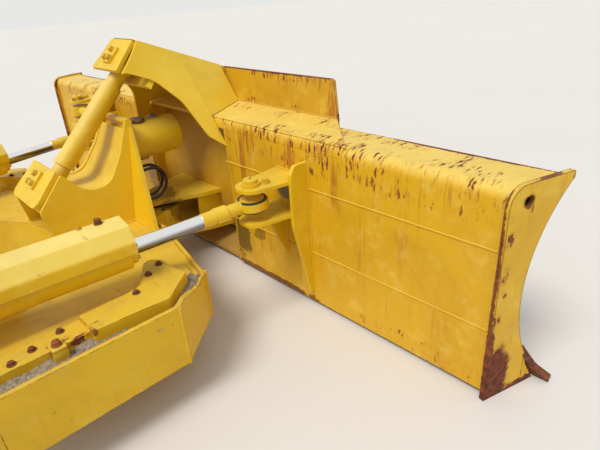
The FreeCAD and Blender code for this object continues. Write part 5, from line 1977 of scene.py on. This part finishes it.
@dataclass
class AngleCylinder(HydraulicCylinder):
    """Seals, gland and guard bolts of one angle cylinder, side -1 for the right."""

    side: int = -1
    guard_top: float = 0.118
    guard_bolt_at: Flat = (0.757, 0.040)
    guard_nut_at: Flat = (0.690, 0.047)
    eye_face: float = 0.017
    eye_boss: float = 0.056

    def build(self) -> None:
        """Build every small piece of the cylinder."""
        word = "right" if self.side < 0 else "left"
        self.body = f"angle_tube_{word}"
        base, pin = angle_base(self.side), angle_pin(self.side)
        place = cylinder_frame(base, pin)
        up = way_of(place, 2)
        seals = []
        for way in (1, -1):
            lip = ring(self.eye_boss + 0.0075, self.eye_boss - 0.003, 0.0095, 0.002)
            middle = on(place, (pin - base).length, 0.0, way * (self.eye_face - 0.001))
            seals.append(put(lip, seat(middle, up * way)))
        self.finish(joined(f"eye_seals_{word}", seals), Slot.BLACK_RUBBER, self.palette.seal,
                    body=f"angle_shaft_{word}")
        self.wiper(f"rod_wiper_{word}", place)
        self.gland_bolts(f"gland_bolts_{word}", place)
        along, inward = self.guard_bolt_at
        self.fit(f"guard_bolt_{word}", HexBolt(0.025, 0.016, 0.016, 0.003),
                 [(on(place, along, -self.side * inward, self.guard_top), up, 22.0)], self.palette.rusty)
        along, inward = self.guard_nut_at
        self.fit(f"guard_nut_{word}", HexBolt(0.013, 0.007, 0.010, 0.002, nut=True),
                 [(on(place, along, -self.side * inward, self.guard_top), up, 5.0)])


@dataclass
class TiltCylinder(HydraulicCylinder):
    """Seals, gland bolts and oil ports of the tilt cylinder."""

    body: str = "tilt_tube"
    gland_end: float = 0.540
    rod_r: float = 0.025
    wiper_lip: float = 0.010
    bolt_circle: float = 0.040
    gland_bolt: HexBolt = field(default_factory=lambda: HexBolt(0.011, 0.006, 0.0075, 0.0015))
    barrel_r: float = 0.058
    ports_at: Flat = (0.262, 0.488)

    def build(self) -> None:
        """Build every small piece of the cylinder."""
        place = cylinder_frame(TILT_BASE, TILT_PIN)
        self.wiper("tilt_rod_wiper", place)
        self.gland_bolts("tilt_gland_bolts", place)
        ports = []
        for along in self.ports_at:
            boss = cylinder(0.014, 0.012, 20, -0.004)
            nut = bevelled(cylinder(0.012, 0.012, 6, 0.008), 0.0012, 1)
            spot = seat(on(place, along, 0.0, self.barrel_r), way_of(place, 2))
            ports += [put(boss, spot), put(nut, spot)]
        self.finish(joined("tilt_ports", ports), Slot.WORN_PAINT, self.palette.painted_bolt)


# --------------------------------------------------------------------- studio


@dataclass
class Studio:
    """Pale floor, soft light and the camera at the photograph's viewing angle."""

    eye: Point = (1.158, -2.497, 1.127)
    right: Point = (0.721, -0.689, -0.059)
    up: Point = (0.344, 0.284, 0.895)
    lens: float = 29.58
    air: Colour = srgb(232, 232, 230)

    def build(self, floor_level: float) -> None:
        """Set up the floor, the world, the lamp and the camera.

        Args:
            floor_level: The height that the object stands on.
        """
        self.floor(floor_level)
        self.world()
        self.lamps()
        self.camera()
        bpy.context.scene.view_settings.view_transform = "Standard"

    def floor(self, level: float) -> None:
        """Lay the floor.

        Args:
            level: Its height.
        """
        bpy.ops.object.select_all(action="DESELECT")
        bpy.ops.mesh.primitive_plane_add(size=60.0, location=(0, 0, 0))
        floor = bpy.context.active_object
        floor.name = "floor"
        put(floor, Matrix.Translation((1.5, 0.0, level)))
        floor.data.materials.append(FloorFinish("floor_grey").material())

    def world(self) -> None:
        """Fill the world with soft light and show a pale background."""
        world = bpy.data.worlds.new("studio_air")
        bpy.context.scene.world = world
        world.use_nodes = True
        world.node_tree.nodes.clear()
        graph = Graph(world.node_tree)
        rays = graph.node("ShaderNodeLightPath")
        seen = graph.maths("MAXIMUM", rays.outputs["Is Camera Ray"],
                           graph.maths("MAXIMUM", rays.outputs["Is Glossy Ray"], rays.outputs["Is Transmission Ray"]))
        soft = graph.node("ShaderNodeBackground")
        soft.inputs["Color"].default_value = srgb(236, 240, 248)
        soft.inputs["Strength"].default_value = 0.70
        shown = graph.node("ShaderNodeBackground")
        shown.inputs["Color"].default_value = self.air
        shown.inputs["Strength"].default_value = 1.0
        both = graph.node("ShaderNodeMixShader")
        graph.feed(both.inputs[0], seen)
        graph.feed(both.inputs[1], soft.outputs[0])
        graph.feed(both.inputs[2], shown.outputs[0])
        output = graph.node("ShaderNodeOutputWorld")
        graph.feed(output.inputs["Surface"], both.outputs[0])

    def lamps(self) -> None:
        """Hang one broad, soft sun high on the left."""
        data = bpy.data.lights.new("soft_sun", "SUN")
        data.energy = 2.1
        data.angle = math.radians(24)
        data.color = (1.0, 0.975, 0.94)
        lamp = bpy.data.objects.new("soft_sun", data)
        bpy.context.scene.collection.objects.link(lamp)
        lamp.rotation_euler = Vector((-0.62, -0.10, 1.0)).to_track_quat("Z", "Y").to_euler()

    def camera(self) -> None:
        """Place the camera where the photograph was taken from."""
        data = bpy.data.cameras.new("camera")
        data.sensor_width = 36.0
        data.lens = self.lens
        data.clip_end = 200.0
        camera = bpy.data.objects.new("camera", data)
        bpy.context.scene.collection.objects.link(camera)
        right = Vector(self.right).normalized()
        up = Vector(self.up)
        up = (up - right * up.dot(right)).normalized()
        back = right.cross(up)
        turn = Matrix((right, up, back)).transposed().to_4x4()
        camera.matrix_world = Matrix.Translation(Vector(self.eye)) @ turn
        bpy.context.scene.camera = camera


def main() -> None:
    """Dress the machine and set up the studio."""
    logging.basicConfig(level=logging.INFO, format="%(name)s: %(message)s")
    palette = Palette()
    palette.dress_nodes()
    PushFrame(palette).build()
    Tower(palette).build()
    CentreJoint(palette).build()
    Blade(palette).build()
    Mast(palette).build()
    for side in (-1, 1):
        AngleCylinder(palette, side=side).build()
    TiltCylinder(palette).build()
    Studio().build(CAD_BOX[0][2])


if __name__ == "__main__":
    main()
